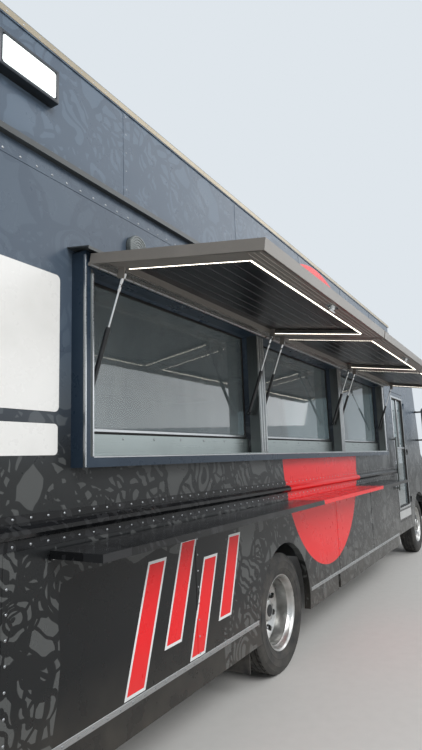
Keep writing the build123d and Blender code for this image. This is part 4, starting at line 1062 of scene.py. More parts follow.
@dataclass
class Studio:
    """Pale floor, soft lamps and the camera at the photograph's place."""

    camera_x: float = -5.31
    camera_out: float = 2.847
    camera_z: float = 1.503
    yaw: float = 30.426
    pitch: float = 8.904
    roll: float = 1.962
    focal_px: float = 539.67
    photo_height_px: int = 750
    sensor_mm: float = 24.0
    floor_colour: str = "#d3d2cf"
    floor_shade: str = "#cbcac7"
    sky_colour: str = "#dfe6ec"

    def camera(self) -> None:
        """Place the camera by its yaw, pitch and roll, with the photograph's angle of view."""
        yaw, pitch, roll = radians(self.yaw), radians(self.pitch), radians(self.roll)
        ahead = Vector((cos(yaw) * cos(pitch), sin(yaw) * cos(pitch), sin(pitch)))
        right = Vector((sin(yaw), -cos(yaw), 0.0))
        down = ahead.cross(right)
        image_right = right * cos(roll) + down * sin(roll)
        image_down = down * cos(roll) - right * sin(roll)
        turn = Matrix((image_right, -image_down, -ahead)).transposed().to_4x4()
        turn.translation = Vector((self.camera_x, PLAN.y(-self.camera_out), self.camera_z))
        lens = bpy.data.cameras.new("camera")
        camera = bpy.data.objects.new("camera", lens)
        bpy.context.scene.collection.objects.link(camera)
        camera.matrix_world = turn
        lens.sensor_fit = "VERTICAL"
        lens.sensor_height = self.sensor_mm
        lens.lens = self.sensor_mm * self.focal_px / self.photo_height_px
        lens.clip_end = 300.0
        bpy.context.scene.camera = camera

    def floor(self) -> None:
        """Lay a wide pale floor with a faint grain."""
        Bench.clear()
        bpy.ops.mesh.primitive_plane_add(size=160, location=(0, PLAN.middle_y, -0.002))
        ground = bpy.context.object
        Bench.mode("EDIT")
        bpy.ops.mesh.subdivide(number_cuts=8)
        Bench.mode("OBJECT")
        Bench.place(ground)
        ground.name = ground.data.name = "studio_floor"
        ground.data.materials.append(Moulding("pale studio floor", colour=self.floor_colour, shade=self.floor_shade,
                                              roughness=0.75, grain_mm=5.0).material())

    def lamp(self, name: str, place: Triple, target: Triple, size: float, power: float) -> None:
        """Hang one soft square lamp.

        Args:
            name: Name of the lamp.
            place: Where it hangs.
            target: What it points at.
            size: Length of its sides in metres.
            power: Power in watts.
        """
        light = bpy.data.lights.new(name, "AREA")
        light.shape = "SQUARE"
        light.size = size
        light.energy = power
        holder = bpy.data.objects.new(name, light)
        bpy.context.scene.collection.objects.link(holder)
        holder.location = place
        holder.rotation_euler = (Vector(target) - Vector(place)).to_track_quat("-Z", "Y").to_euler()

    def world(self) -> None:
        """Light all round softly and show a pale backdrop to the camera, metal and glass."""
        world = bpy.data.worlds.new("studio")
        bpy.context.scene.world = world
        world.use_nodes = True
        tree = world.node_tree
        tree.nodes.clear()
        path = put(tree, "ShaderNodeLightPath").outputs
        most = {"operation": "MAXIMUM"}
        inner = put(tree, "ShaderNodeMath", most, {0: path["Is Glossy Ray"], 1: path["Is Transmission Ray"]})
        seen = put(tree, "ShaderNodeMath", most, {0: path["Is Camera Ray"], 1: inner.outputs[0]})
        soft = put(tree, "ShaderNodeBackground", inputs={"Color": linear("#f2f4f6"), "Strength": 0.55})
        backdrop = put(tree, "ShaderNodeBackground", inputs={"Color": linear(self.sky_colour), "Strength": 1.0})
        mixed = put(tree, "ShaderNodeMixShader", inputs={0: seen.outputs[0], 1: soft.outputs[0],
                                                         2: backdrop.outputs[0]})
        put(tree, "ShaderNodeOutputWorld", inputs={"Surface": mixed.outputs[0]})

    def build(self) -> None:
        """Set up the whole studio."""
        self.camera()
        self.floor()
        self.world()
        self.lamp("key", (-7.0, -11.0, 9.0), (-1.0, -1.0, 1.4), 7.0, 1280.0)
        self.lamp("fill", (10.0, -10.0, 8.5), (1.0, -1.0, 1.4), 13.0, 800.0)
        self.lamp("back", (-4.0, 11.0, 9.0), (0.0, 1.0, 1.4), 8.0, 800.0)
        bpy.context.scene.view_settings.view_transform = "Standard"


# Front edges of the upright sheet laps of the walls and of the header, in metres along the truck
WALL_LAPS = (-3.98, -2.74, -0.32, 0.9)
HEADER_LAPS = (-3.3, -2.1, -0.9, 0.3, 1.5)


@dataclass
class Rivets:
    """Domed rivets in rows on the body's sheets."""

    radius: float = 0.0055
    height: float = 0.0026
    pitch: float = 0.083

    def line(self, start: Place, end: Place, outward: Triple, pitch: float = 0.0) -> Piece:
        """Set one straight row of rivets.

        Args:
            start: Foot of the first rivet.
            end: Where the row ends.
            outward: Direction in which the heads stand.
            pitch: Distance between two, or 0 for the usual one.

        Returns:
            The row.
        """
        step = pitch or self.pitch
        run = Vector(end) - Vector(start)
        head = Bench.lathe(start, outward, [
            (self.radius, -0.0004), (self.radius, self.height * 0.25), (self.radius * 0.72, self.height * 0.8),
            (self.radius * 0.25, self.height)], 8)
        return Bench.row(head, int(run.length / step) + 1, run.normalized() * step)

    def build(self) -> None:
        """Set the rows of both sides and the rear: header, gutter seam, rails, lower seam, laps and roof edge."""
        rear, front = PLAN.rear_x + 0.06, PLAN.wall_front_x - 0.03
        rows = []
        for side in Side:
            sign = side.value
            outward = (0.0, float(sign), 0.0)
            wall = PLAN.y(sign * PLAN.half_width)
            edge = PLAN.y(sign * (PLAN.half_width + 0.006))
            rail = PLAN.y(sign * (PLAN.half_width + 0.005))
            lower, lap = wall + sign * 0.002, wall + sign * 0.0018
            for z, y in ((2.712, wall + sign * 0.0022), (2.815, wall), (3.3, edge), (1.314, rail), (1.22, rail),
                         (0.468, lower)):
                last = PLAN.rear_axle_x - 0.5 if z < 0.5 else front
                rows.append(self.line((rear, y, z), (last, y, z), outward))
            rows.append(self.line((PLAN.rear_axle_x + 0.55, lower, 0.468), (front, lower, 0.468), outward))
            for x in WALL_LAPS:
                rows.append(self.line((x - 0.012, lap, 0.5), (x - 0.012, lap, 1.13), outward))
            for x in HEADER_LAPS:
                rows.append(self.line((x - 0.02, wall, 2.86), (x - 0.02, wall, 3.26), outward, 0.1))
        x, behind = PLAN.rear_x, (-1.0, 0.0, 0.0)
        for y in (PLAN.y(-1.19), PLAN.y(1.19)):
            rows.append(self.line((x, y, 0.78), (x, y, 2.72), behind))
        rows.append(self.line((x, PLAN.y(-1.15), 2.72), (x, PLAN.y(1.15), 2.72), behind))
        dress("body_rivets", rows, Palette.ZINC)


@dataclass
class SideSeams:
    """Lapped sheet edges and trim strips on the body's sides."""

    lap: float = 0.002

    def build(self) -> None:
        """Lay the lap under the gutter, the upright laps and the bottom strip on both sides."""
        laps, strips = [], []
        axle, out = PLAN.rear_axle_x, (PLAN.half_width - 0.001, PLAN.half_width + self.lap)
        places = [((PLAN.rear_x + 0.04, PLAN.wall_front_x), (2.696, 2.727))]
        places += [((x - 0.03, x), (0.48, 1.2)) for x in WALL_LAPS if not axle - 0.5 < x < axle + 0.5]
        places += [((x - 0.04, x), (2.80, 3.275)) for x in HEADER_LAPS]
        for side in Side:
            laps += [on_side(Bench.block, side, x, out, z, 0.0008, 1) for x, z in places]
            for x in ((PLAN.rear_x + 0.05, axle - 0.49), (axle + 0.46, PLAN.wall_front_x - 0.01)):
                strips.append(on_side(Bench.block, side, x, out, (0.455, 0.481), 0.001, 1))
        dress("side_laps", laps, Palette.WRAP)
        dress("lower_trim", strips, Palette.ALUMINIUM)


@dataclass
class SignPanels:
    """Two blank white sign panels near the rear corner of the serving side."""

    front_x: float = -3.76
    width: float = 0.6
    thick: float = 0.003

    def build(self) -> None:
        """Fix both panels with their round corners."""
        rear, out = self.front_x - self.width, (PLAN.half_width - 0.0005, PLAN.half_width + self.thick)
        for name, front, z, corner in (("large", self.front_x, (1.712, 2.281), 0.022),
                                       ("small", self.front_x - 0.005, (1.541, 1.664), 0.018)):
            panel = on_side(Bench.plate, Side.RIGHT, (rear, front), out, z, corner)
            dress(f"sign_panel_{name}", panel, Palette.WHITE_PANEL)


@dataclass
class WindowSurround:
    """Trim of the serving windows: edge beads, gaskets, pillar flutes, sill screws and sash rails."""

    bays: tuple[Span, ...] = ((-3.64, -2.04), (-1.93, -0.28), (-0.17, 1.48))
    glass_low: float = 1.63
    glass_high: float = 2.33
    outer: float = 1.30
    glass_face: float = 1.178

    def beads(self) -> None:
        """Fold bright beads along the frame's rear corner and round its opening."""
        rear, out = PLAN.frame_rear_x, (self.outer - 0.012, self.outer + 0.0016)
        low, _ = PLAN.band(Side.RIGHT, PLAN.half_width, self.outer - 0.001)
        pieces = [
            on_side(Bench.block, Side.RIGHT, (rear - 0.0008, rear + 0.006), out, (1.489, 2.383), 0.001, 1),
            on_side(Bench.block, Side.RIGHT, (rear + 0.042, rear + 0.0505), out, (1.531, 2.31), 0.001, 1),
            Bench.block((rear - 0.0012, low, 1.489), (rear + 0.002, low + 0.008, 2.383), 0.001, 1),
            on_side(Bench.block, Side.RIGHT, (rear + 0.05, PLAN.frame_front_x - 0.03), out, (1.526, 1.5335), 0.001, 1),
        ]
        dress("frame_beads", pieces, Palette.ALUMINIUM)

    def panes(self) -> None:
        """Set a black gasket round each pane, and the lower rail of its sliding sash."""
        face, low, high = self.glass_face, self.glass_low, self.glass_high
        gasket, rail = (face - 0.0005, face + 0.007), (face + 0.0002, face + 0.010)
        dress("window_gaskets", [on_side(Bench.ring, Side.RIGHT, bay, gasket, (low, high), 0.014)
                                 for bay in self.bays], Palette.SEAL)
        dress("window_tracks", [on_side(Bench.block, Side.RIGHT, (x0 + 0.014, x1 - 0.014), rail,
                                        (low + 0.012, low + 0.026), 0.0015, 1)
                                for x0, x1 in self.bays], Palette.ALUMINIUM)

    def flutes(self) -> None:
        """Press upright flutes into the pillars' faces."""
        ribs, y = [], PLAN.y(-1.2935)
        for _, x1 in self.bays:
            width = 0.11 if x1 < 1.4 else 0.075
            for number in range(3):
                x = x1 + 0.018 + number * (width - 0.036) / 2
                ribs.append(Bench.rod((x, y, 1.545), (x, y, 2.325), 0.0065, 10))
        dress("pillar_flutes", ribs, Palette.ALUMINIUM)

    def sill_screws(self) -> None:
        """Drive screws along the sill panels."""
        rows, y = [], PLAN.y(-1.205)
        for x0, x1 in self.bays:
            head = Bench.lathe((x0 + 0.06, y, 1.612), (0, -1, 0),
                               [(0.006, -0.001), (0.006, 0.0012), (0.0042, 0.0028), (0.0015, 0.003)], 10)
            rows.append(Bench.row(head, int((x1 - x0 - 0.12) / 0.24) + 1, (0.24, 0, 0)))
        dress("sill_screws", rows, Palette.ZINC)

    def build(self) -> None:
        """Fit all the trim."""
        self.beads()
        self.panes()
        self.flutes()
        self.sill_screws()


@dataclass
class HatchDress:
    """Liner, light strips, latch, hinge knuckles and stiffeners of one hatch, drawn level and swung to its droop."""

    number: int
    droop: float = 9.0
    pivot_out: float = 1.31
    pivot_z: float = 2.34
    length: float = 0.82
    rim: float = 0.1
    recess: float = 0.03
    thick: float = 0.045
    chip_pitch: float = 0.016

    def span(self) -> Span:
        """Length of the hatch along the truck."""
        low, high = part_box(f"hatch_{self.number}")
        return low.x, high.x

    def depth(self, outer: float, inner: float) -> Span:
        """Row Y of two distances from the outer edge and from the hinge line, outer first."""
        return PLAN.y(-self.pivot_out - self.length + outer), PLAN.y(-self.pivot_out - inner)

    def settle(self, name: str, pieces: list[Piece], finish: Finish) -> None:
        """Swing level pieces to the hatch's rest and let them ride on the hatch."""
        piece = Bench.join(pieces)
        Bench.swing(piece, (0, PLAN.y(-self.pivot_out), self.pivot_z), (1, 0, 0), self.droop)
        dress(f"hatch_{self.number}_{name}", piece, finish, f"hatch_{self.number}")

    def liner(self) -> None:
        """Rivet a thin stainless liner into the recess, with pressed channels across it."""
        x0, x1 = self.span()
        y0, y1 = self.depth(self.rim, self.rim)
        z = self.pivot_z + self.recess
        folds = [Bench.block((x0 + self.rim, y0, z - 0.0022), (x1 - self.rim, y1, z + 0.001), 0.0005, 1)]
        for number in range(1, 9):
            y = y0 + (y1 - y0) * number / 9
            folds.append(Bench.rod((x0 + self.rim + 0.01, y, z - 0.002), (x1 - self.rim - 0.01, y, z - 0.002),
                                   0.0022, 6))
        # The liner's dark colour is painted shade under the hatch.
        self.settle("liner", folds, Palette.LINER)

    def lights(self) -> None:
        """Run a light strip along the recess's outer side and both of its ends."""
        x0, x1 = self.span()
        inner_x, outer_x = x0 + self.rim, x1 - self.rim
        y_out, y_in = self.depth(self.rim, self.rim)
        z = self.pivot_z + 0.002
        strips = [Bench.block((first, y_low, z), (last, y_high, z + 0.012), 0.0008, 1)
                  for first, last, y_low, y_high in ((inner_x, outer_x, y_out, y_out + 0.014),
                                                     (inner_x, inner_x + 0.014, y_out + 0.014, y_in),
                                                     (outer_x - 0.014, outer_x, y_out + 0.014, y_in))]
        self.settle("strip", strips, Palette.ALUMINIUM)
        chips = []
        for x, y, step_x, step_y, run in ((inner_x + 0.012, y_out + 0.007, 1.0, 0.0, outer_x - inner_x - 0.024),
                                          (inner_x + 0.007, y_out + 0.023, 0.0, 1.0, y_in - y_out - 0.03),
                                          (outer_x - 0.007, y_out + 0.023, 0.0, 1.0, y_in - y_out - 0.03)):
            chip = Bench.block((x - 0.0055, y - 0.0055, z - 0.0016), (x + 0.0055, y + 0.0055, z + 0.0004), 0.0006, 1)
            chips.append(Bench.row(chip, int(run / self.chip_pitch),
                                   (step_x * self.chip_pitch, step_y * self.chip_pitch, 0)))
        self.settle("diodes", chips, Palette.DIODE)

    def edging(self) -> None:
        """Fold a pale hem along the outer and end edges, with three fine beads."""
        x0, x1 = self.span()
        y_out, y_in = self.depth(0.0, 0.03)
        z = self.pivot_z
        hems = [Bench.block((first, y_low, z - 0.0012), (last, y_high, z + 0.004), 0.001, 1)
                for first, last, y_low, y_high in ((x0 + 0.001, x1 - 0.001, y_out + 0.0006, y_out + 0.012),
                                                   (x0 + 0.0005, x0 + 0.01, y_out + 0.012, y_in),
                                                   (x1 - 0.01, x1 - 0.0005, y_out + 0.012, y_in))]
        for reach in (0.028, 0.052, 0.076):
            y = y_out + reach
            hems.append(Bench.rod((x0 + 0.02, y, z - 0.0004), (x1 - 0.02, y, z - 0.0004), 0.0022, 6))
        self.settle("hem", hems, Palette.HEM)

    def chequer(self) -> None:
        """Rivet a strip with raised lozenges under the hinge-side rim."""
        x0, x1 = self.span()
        y_out, y_in = PLAN.y(-self.pivot_out - self.rim + 0.006), PLAN.y(-self.pivot_out - 0.032)
        z = self.pivot_z
        pieces = [Bench.block((x0 + 0.02, y_out, z - 0.0015), (x1 - 0.02, y_in, z + 0.001), 0.0005, 1)]
        for number in range(3):
            y = y_out + 0.012 + number * 0.019
            rib = Bench.block((x0 + 0.03, y - 0.0022, z - 0.0032), (x0 + 0.045, y + 0.0022, z - 0.001), 0.0008, 1)
            Bench.swing(rib, (x0 + 0.0375, y, z), (0, 0, 1), 45 if number % 2 else -45)
            pieces.append(Bench.row(rib, int((x1 - x0 - 0.07) / 0.022), (0.022, 0, 0)))
        self.settle("chequer", pieces, Palette.CHEQUER)

    def latch(self) -> None:
        """Build the T-handle latch in the middle of the outer rim, with its keyed barrel."""
        x0, x1 = self.span()
        x, y, z = (x0 + x1) / 2, PLAN.y(-self.pivot_out - self.length + 0.045), self.pivot_z
        self.settle("latch", [
            Bench.plate((x - 0.05, y - 0.022, z - 0.004), (x + 0.05, y + 0.022, z), 0.02),
            Bench.lathe((x, y, z - 0.004), (0, 0, -1), [(0.014, 0), (0.014, 0.008), (0.011, 0.014)], 20),
            Bench.rod((x - 0.034, y, z - 0.022), (x + 0.034, y, z - 0.022), 0.006, 14, 0.003),
            Bench.rod((x, y, z - 0.02), (x, y, z - 0.006), 0.007, 12)], Palette.CHROME)

    def hinge(self) -> None:
        """Thread the knuckles of the long hinge on their pin and screw down its leaf."""
        x0, x1 = self.span()
        y, z = PLAN.y(-self.pivot_out), self.pivot_z
        knuckle = Bench.rod((x0 + 0.004, y, z), (x0 + 0.054, y, z), 0.0093, 12)
        Bench.row(knuckle, int((x1 - x0 - 0.01) / 0.058), (0.058, 0, 0))
        screw = Bench.lathe((x0 + 0.06, PLAN.y(-self.pivot_out - 0.035), z + self.thick), (0, 0, 1),
                            [(0.006, -0.0005), (0.006, 0.0014), (0.003, 0.0028)], 8)
        Bench.row(screw, int((x1 - x0 - 0.12) / 0.125) + 1, (0.125, 0, 0))
        self.settle("hinge_knuckles", [knuckle, screw], Palette.ZINC)

    def ribs(self) -> None:
        """Press three stiffening ribs into the top skin."""
        x0, x1 = self.span()
        y_out, y_in = PLAN.y(-self.pivot_out - self.length), PLAN.y(-self.pivot_out)
        z = self.pivot_z + self.thick
        places = [x0 + (x1 - x0) * number / 4 for number in range(1, 4)]
        self.settle("ribs", [Bench.plate((x - 0.03, y_out + 0.07, z - 0.001), (x + 0.03, y_in - 0.09, z + 0.0035),
                                         0.025) for x in places], Palette.HATCH)

    def build(self) -> None:
        """Dress the hatch."""
        self.liner()
        self.lights()
        self.edging()
        self.chequer()
        self.latch()
        self.hinge()
        self.ribs()


@dataclass
class StrutDress:
    """Glands, end sockets and clips of the gas struts."""

    foot_out: float = 1.236
    foot_z: float = 1.8
    tilt: float = 21.00142
    places: tuple[tuple[int, float, int], ...] = (
        (1, -3.595, -1), (1, -2.085, 1), (2, -1.885, -1), (2, -0.325, 1), (3, -0.125, -1), (3, 1.435, 1))
    tube: Profile = ((0.0085, 0.0), (0.0113, 0.006), (0.0113, 0.016), (0.0109, 0.018), (0.0109, 0.262),
                     (0.0115, 0.264), (0.0115, 0.276), (0.0095, 0.282), (0.0062, 0.2835))
    socket: Profile = ((0.0052, 0.0), (0.0075, 0.004), (0.0075, 0.03), (0.0055, 0.034), (0.0085, 0.046),
                       (0.0085, 0.06))
    clip: Profile = ((0.0105, 0.0), (0.0105, 0.0012), (0.008, 0.002), (0.0058, 0.0032))

    def along(self, x: float, reach: float) -> Vector:
        """Point on a strut's line at a distance from its foot."""
        lean = radians(self.tilt)
        return Vector((x, PLAN.y(-self.foot_out - reach * sin(lean)), self.foot_z + reach * cos(lean)))

    def build(self) -> None:
        """Fit a gland on each cylinder, a socket on each rod and a clip over each pin."""
        for number in (1, 2, 3):
            tubes, rods, clips = [], [], []
            for x, way in [(x, way) for hatch, x, way in self.places if hatch == number]:
                heading = self.along(x, 1.0) - self.along(x, 0.0)
                tubes.append(Bench.lathe(self.along(x, 0.012), heading, self.tube, 20))
                rods.append(Bench.lathe(self.along(x, 0.45), heading, self.socket, 16))
                foot = self.along(x, 0.0) + Vector((way * 0.0095, 0, 0))
                clips.append(Bench.lathe(foot, (-way, 0, 0), self.clip, 16))
            dress(f"strut_glands_{number}", tubes, Palette.BLACK, f"strut_cylinders_{number}")
            dress(f"strut_sockets_{number}", rods, Palette.CHROME, f"strut_rods_{number}")
            dress(f"strut_clips_{number}", clips, Palette.ZINC, f"strut_cylinders_{number}")


@dataclass
class ShelfDress:
    """Rolled hem, hinge knuckles and stiffening ribs of the customer shelf."""

    hinge_out: float = 1.235

    def build(self) -> None:
        """Dress the shelf."""
        low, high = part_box("customer_shelf")
        top, y = PLAN.shelf_top_z, low.y + 0.0095
        hem = Bench.rod((low.x + 0.006, y, top - 0.021), (high.x - 0.006, y, top - 0.021), 0.009, 14, 0.002)
        dress("shelf_hem", hem, Palette.SHELF_EDGE, "customer_shelf")
        y, z = PLAN.y(-self.hinge_out), top - 0.03
        knuckle = Bench.rod((low.x + 0.01, y, z), (low.x + 0.07, y, z), 0.0088, 12)
        Bench.row(knuckle, int((high.x - low.x - 0.02) / 0.066), (0.066, 0, 0))
        dress("shelf_knuckles", knuckle, Palette.ZINC, "customer_shelf")
        places = [low.x + 0.35 + number * (high.x - low.x - 0.7) / 5 for number in range(6)]
        ribs = [Bench.block((x - 0.012, low.y + 0.03, top - 0.036), (x + 0.012, high.y - 0.03, top - 0.029), 0.002, 1)
                for x in places]
        dress("shelf_ribs", ribs, Palette.SHELF_EDGE, "customer_shelf")


@dataclass
class Tyre:
    """One road tyre: ribbed tread with notched shoulders and ringed sidewalls."""

    centre: Vector
    segments: int = 96
    half_profile: Profile = (
        (0.2487, 0.0885), (0.2560, 0.0955), (0.2620, 0.0960), (0.2650, 0.0990), (0.2710, 0.1000), (0.2730, 0.1015),
        (0.2860, 0.1060), (0.2990, 0.1088), (0.3005, 0.1100), (0.3050, 0.1102), (0.3065, 0.1094), (0.3240, 0.1106),
        (0.3440, 0.1100), (0.3460, 0.1108), (0.3500, 0.1104), (0.3520, 0.1090), (0.3660, 0.1055), (0.3760, 0.1010),
        (0.3780, 0.1012), (0.3830, 0.0985), (0.3925, 0.0920), (0.3990, 0.0860), (0.4042, 0.0800), (0.4046, 0.0620),
        (0.3940, 0.0600), (0.3940, 0.0545), (0.4046, 0.0525), (0.4049, 0.0240), (0.3940, 0.0220), (0.3940, 0.0165),
        (0.4049, 0.0145),
    )

    def bitten(self, face: bpy.types.MeshPolygon, low: float, high: float) -> bool:
        """Say whether a notch goes into a face.

        Args:
            face: Face of the turned tyre.
            low: Least distance from the tyre's middle plane.
            high: Greatest distance from it.

        Returns:
            True for every second face of the tread between the two.
        """
        away = face.center - self.centre
        spoke = Vector((away.x, 0, away.z))
        if not low < abs(away.y) < high or spoke.length < 0.4:
            return False
        turn = Vector((1, 0, 0)).angle(spoke) * (1 if away.z > 0 else -1) + 7
        return int(turn / (2 * pi) * self.segments) % 2 == 0

    def build(self) -> Piece:
        """Turn the carcass, then notch its shoulders and ribs."""
        profile = list(self.half_profile) + [(r, -y) for r, y in reversed(self.half_profile)]
        tyre = Bench.lathe(self.centre, (0, 1, 0), profile, self.segments, True, 28)
        for low, high, border, depth in ((0.063, 0.082, 0.004, 0.007), (0.0, 0.053, 0.008, 0.004)):
            Bench.choose(tyre, lambda face: self.bitten(face, low, high))
            bpy.ops.mesh.inset(thickness=border, depth=-depth, use_individual=True)
            Bench.mode("OBJECT")
        return Bench.smooth(tyre, 28)


@dataclass
class Rim:
    """Parts of a forged wheel: barrel with drop centre, dished disc with hand holes, hub, nuts."""

    centre: Vector
    barrel_profile: Profile = (
        (0.2400, 0.0790), (0.2550, 0.0865), (0.2600, 0.0920), (0.2585, 0.0950), (0.2520, 0.0955), (0.2440, 0.0890),
        (0.2370, 0.0780), (0.2330, 0.0620), (0.2230, 0.0500), (0.2210, 0.0300), (0.2210, -0.0300), (0.2230, -0.0500),
        (0.2330, -0.0620), (0.2370, -0.0780), (0.2440, -0.0890), (0.2520, -0.0955), (0.2585, -0.0950),
        (0.2600, -0.0920), (0.2550, -0.0865), (0.2400, -0.0790), (0.2390, -0.0630), (0.2300, -0.0520),
        (0.2300, 0.0520), (0.2390, 0.0630),
    )

    def barrel(self) -> Piece:
        """Turn the barrel about the axle."""
        return Bench.lathe(self.centre, (0, 1, 0), self.barrel_profile, 72, True, 30)

    def disc(self, toward: int, place: float, rise: float) -> Piece:
        """Turn the disc and cut its ten hand holes.

        Args:
            toward: Sign of Y in which place counts.
            place: Distance of the disc's near face from the middle plane.
            rise: How far its rim leans back towards the middle plane.

        Returns:
            The disc.
        """
        profile = [(0.088, place), (0.158, place), (0.176, place - rise * 0.25), (0.205, place - rise * 0.8),
                   (0.2215, place - rise), (0.2215, place - rise - 0.013), (0.200, place - rise * 0.8 - 0.008),
                   (0.172, place - rise * 0.2 - 0.005), (0.156, place + 0.010 - 0.022), (0.088, place - 0.012)]
        disc = Bench.lathe(self.centre, (0, toward, 0), profile, 72, True, 30)
        start, end = (self.centre + Vector((0.19, toward * (place + reach), 0)) for reach in (-0.07, 0.05))
        hole = Bench.rod(start, end, 0.0215, 20, 0.0)
        Bench.swing(hole, self.centre, (0, 1, 0), 18)
        return Bench.smooth(Bench.cut(disc, Bench.round(hole, 10, self.centre, (0, 1, 0))), 30)

    def nuts(self, toward: int, place: float) -> Piece:
        """Set ten wheel nuts on their studs round the hub."""
        start, axis = self.centre + Vector((0.1425, toward * place, 0)), (0, toward, 0)
        nut = Bench.join([
            Bench.lathe(start, axis, [(0.0205, -0.001), (0.0205, 0.004), (0.0185, 0.0045)], 16),
            Bench.lathe(start, axis, [(0.0175, 0.003), (0.0175, 0.021), (0.0145, 0.025)], 6, angle=20),
            Bench.lathe(start, axis, [(0.0105, 0.02), (0.0105, 0.034), (0.009, 0.036)], 12)])
        return Bench.round(nut, 10, self.centre, (0, 1, 0))

    def hub(self, toward: int, profile: Profile) -> Piece:
        """Turn the hub about the axle, its profile counted towards one sign of Y."""
        return Bench.lathe(self.centre, (0, toward, 0), profile, 48, angle=30)


@dataclass
class Wheels:
    """All wheels and tyres, modelled on the right and mirrored to the left."""

    axle_z: float = 0.405
    tyre_middle: float = 1.059
    twin_spacing: float = 0.267
    front_disc: float = 0.05
    twin_disc: float = 0.082
    front_hub: Profile = ((0.10, -0.02), (0.10, 0.052), (0.094, 0.058), (0.082, 0.06), (0.08, 0.078),
                          (0.072, 0.086), (0.064, 0.088), (0.062, 0.104), (0.055, 0.11), (0.02, 0.1105))
    rear_hub: Profile = ((0.1, -0.19), (0.1, -0.062), (0.098, -0.056), (0.084, -0.054), (0.082, -0.018),
                         (0.076, -0.01), (0.072, -0.008), (0.071, 0.0), (0.062, 0.004), (0.03, 0.006))

    def settle(self, stem: str, pieces: list[Piece], finish: Finish, body: str, node: str = "") -> None:
        """Dress a right-hand piece and its mirror image.

        Args:
            stem: Name of both pieces without their side.
            pieces: The right-hand piece, or what it is joined from.
            finish: Finish of both.
            body: Name of the bodies that carry them, without the side.
            node: CAD node that they stand for, without the side, or nothing.
        """
        flip = Matrix.Translation((0, 2 * PLAN.middle_y, 0)) @ Matrix.Diagonal((1, -1, 1, 1))
        right = Bench.join(pieces)
        for side, part in (("right", right), ("left", Bench.moved(right, flip))):
            dress(f"{stem}_{side}", part, finish, f"{body}_{side}")
            if node:
                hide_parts(f"{node}_{side}")

    def front(self) -> None:
        """Build the steered pair."""
        centre = Vector((PLAN.front_axle_x, PLAN.y(-self.tyre_middle), self.axle_z))
        self.settle("front_road_tyre", [Tyre(centre).build()], Palette.TYRE, "front_wheel", "front_tyre")
        rim = Rim(centre)
        parts = [rim.barrel(), rim.disc(-1, self.front_disc, 0.028), rim.hub(-1, self.front_hub)]
        self.settle("front_rim", parts, Palette.FRONT_ALLOY, "front_wheel", "front_wheel")
        self.settle("front_nuts", [rim.nuts(-1, self.front_disc)], Palette.ZINC, "front_wheel")

    def rear(self) -> None:
        """Build the twin pair with its deep outer dish."""
        outer, inner = (Vector((PLAN.rear_axle_x, y, self.axle_z)) for y in (
            PLAN.y(-self.tyre_middle), PLAN.y(-self.tyre_middle + self.twin_spacing)))
        tyres = [Tyre(outer).build(), Tyre(inner).build()]
        self.settle("rear_road_tyres", tyres, Palette.TYRE, "rear_wheels", "rear_tyres")
        near, far = Rim(outer), Rim(inner)
        parts = [near.barrel(), far.barrel(), near.disc(1, self.twin_disc, 0.03), far.disc(-1, self.twin_disc, 0.03),
                 near.hub(-1, self.rear_hub)]
        self.settle("rear_rims", parts, Palette.REAR_ALLOY, "rear_wheels", "rear_wheels")
        self.settle("rear_nuts", [near.nuts(-1, -self.twin_disc + 0.012)], Palette.ZINC, "rear_wheels")

    def build(self) -> None:
        """Build all four corners."""
        self.front()
        self.rear()


@dataclass
class LampDress:
    """Scene lamps on the header and the round lamp."""

    lamp_xs: Span = (-3.97, 2.17)
    lamp_low: float = 3.015
    lamp_high: float = 3.165
    lens: Profile = ((0.0685, -0.02), (0.0685, 0.0), (0.064, 0.005), (0.058, 0.0055), (0.055, 0.003), (0.046, 0.0045),
                     (0.043, 0.002), (0.032, 0.004), (0.029, 0.0015), (0.018, 0.0035), (0.015, 0.001), (0.006, 0.003))

    def scene_lamps(self) -> None:
        """Fit each scene lamp's bezel and lit face."""
        bezels, faces = [], []
        bezel = (PLAN.half_width + 0.0445, PLAN.half_width + 0.0445 + 0.0045)
        face = (PLAN.half_width + 0.044, PLAN.half_width + 0.0465)
        for side in Side:
            for x in self.lamp_xs:
                bezels.append(on_side(Bench.ring, side, (x - 0.15, x + 0.15), bezel,
                                      (self.lamp_low, self.lamp_high), 0.014))
                faces.append(on_side(Bench.plate, side, (x - 0.134, x + 0.134), face,
                                     (self.lamp_low + 0.016, self.lamp_high - 0.016), 0.012))
        dress("lamp_bezels", bezels, Palette.LAMP_RIM)
        dress("lamp_faces", faces, Palette.WHITE_LIGHT)

    def build(self) -> None:
        """Fit all the lamps, with the rings of the round one over the windows."""
        self.scene_lamps()
        centre = (PLAN.rear_axle_x - 1.71, PLAN.y(-PLAN.half_width - 0.025), 2.56)
        dress("round_lamp_lens", Bench.lathe(centre, (0, -1, 0), self.lens, 40), Palette.SMOKED_LENS)


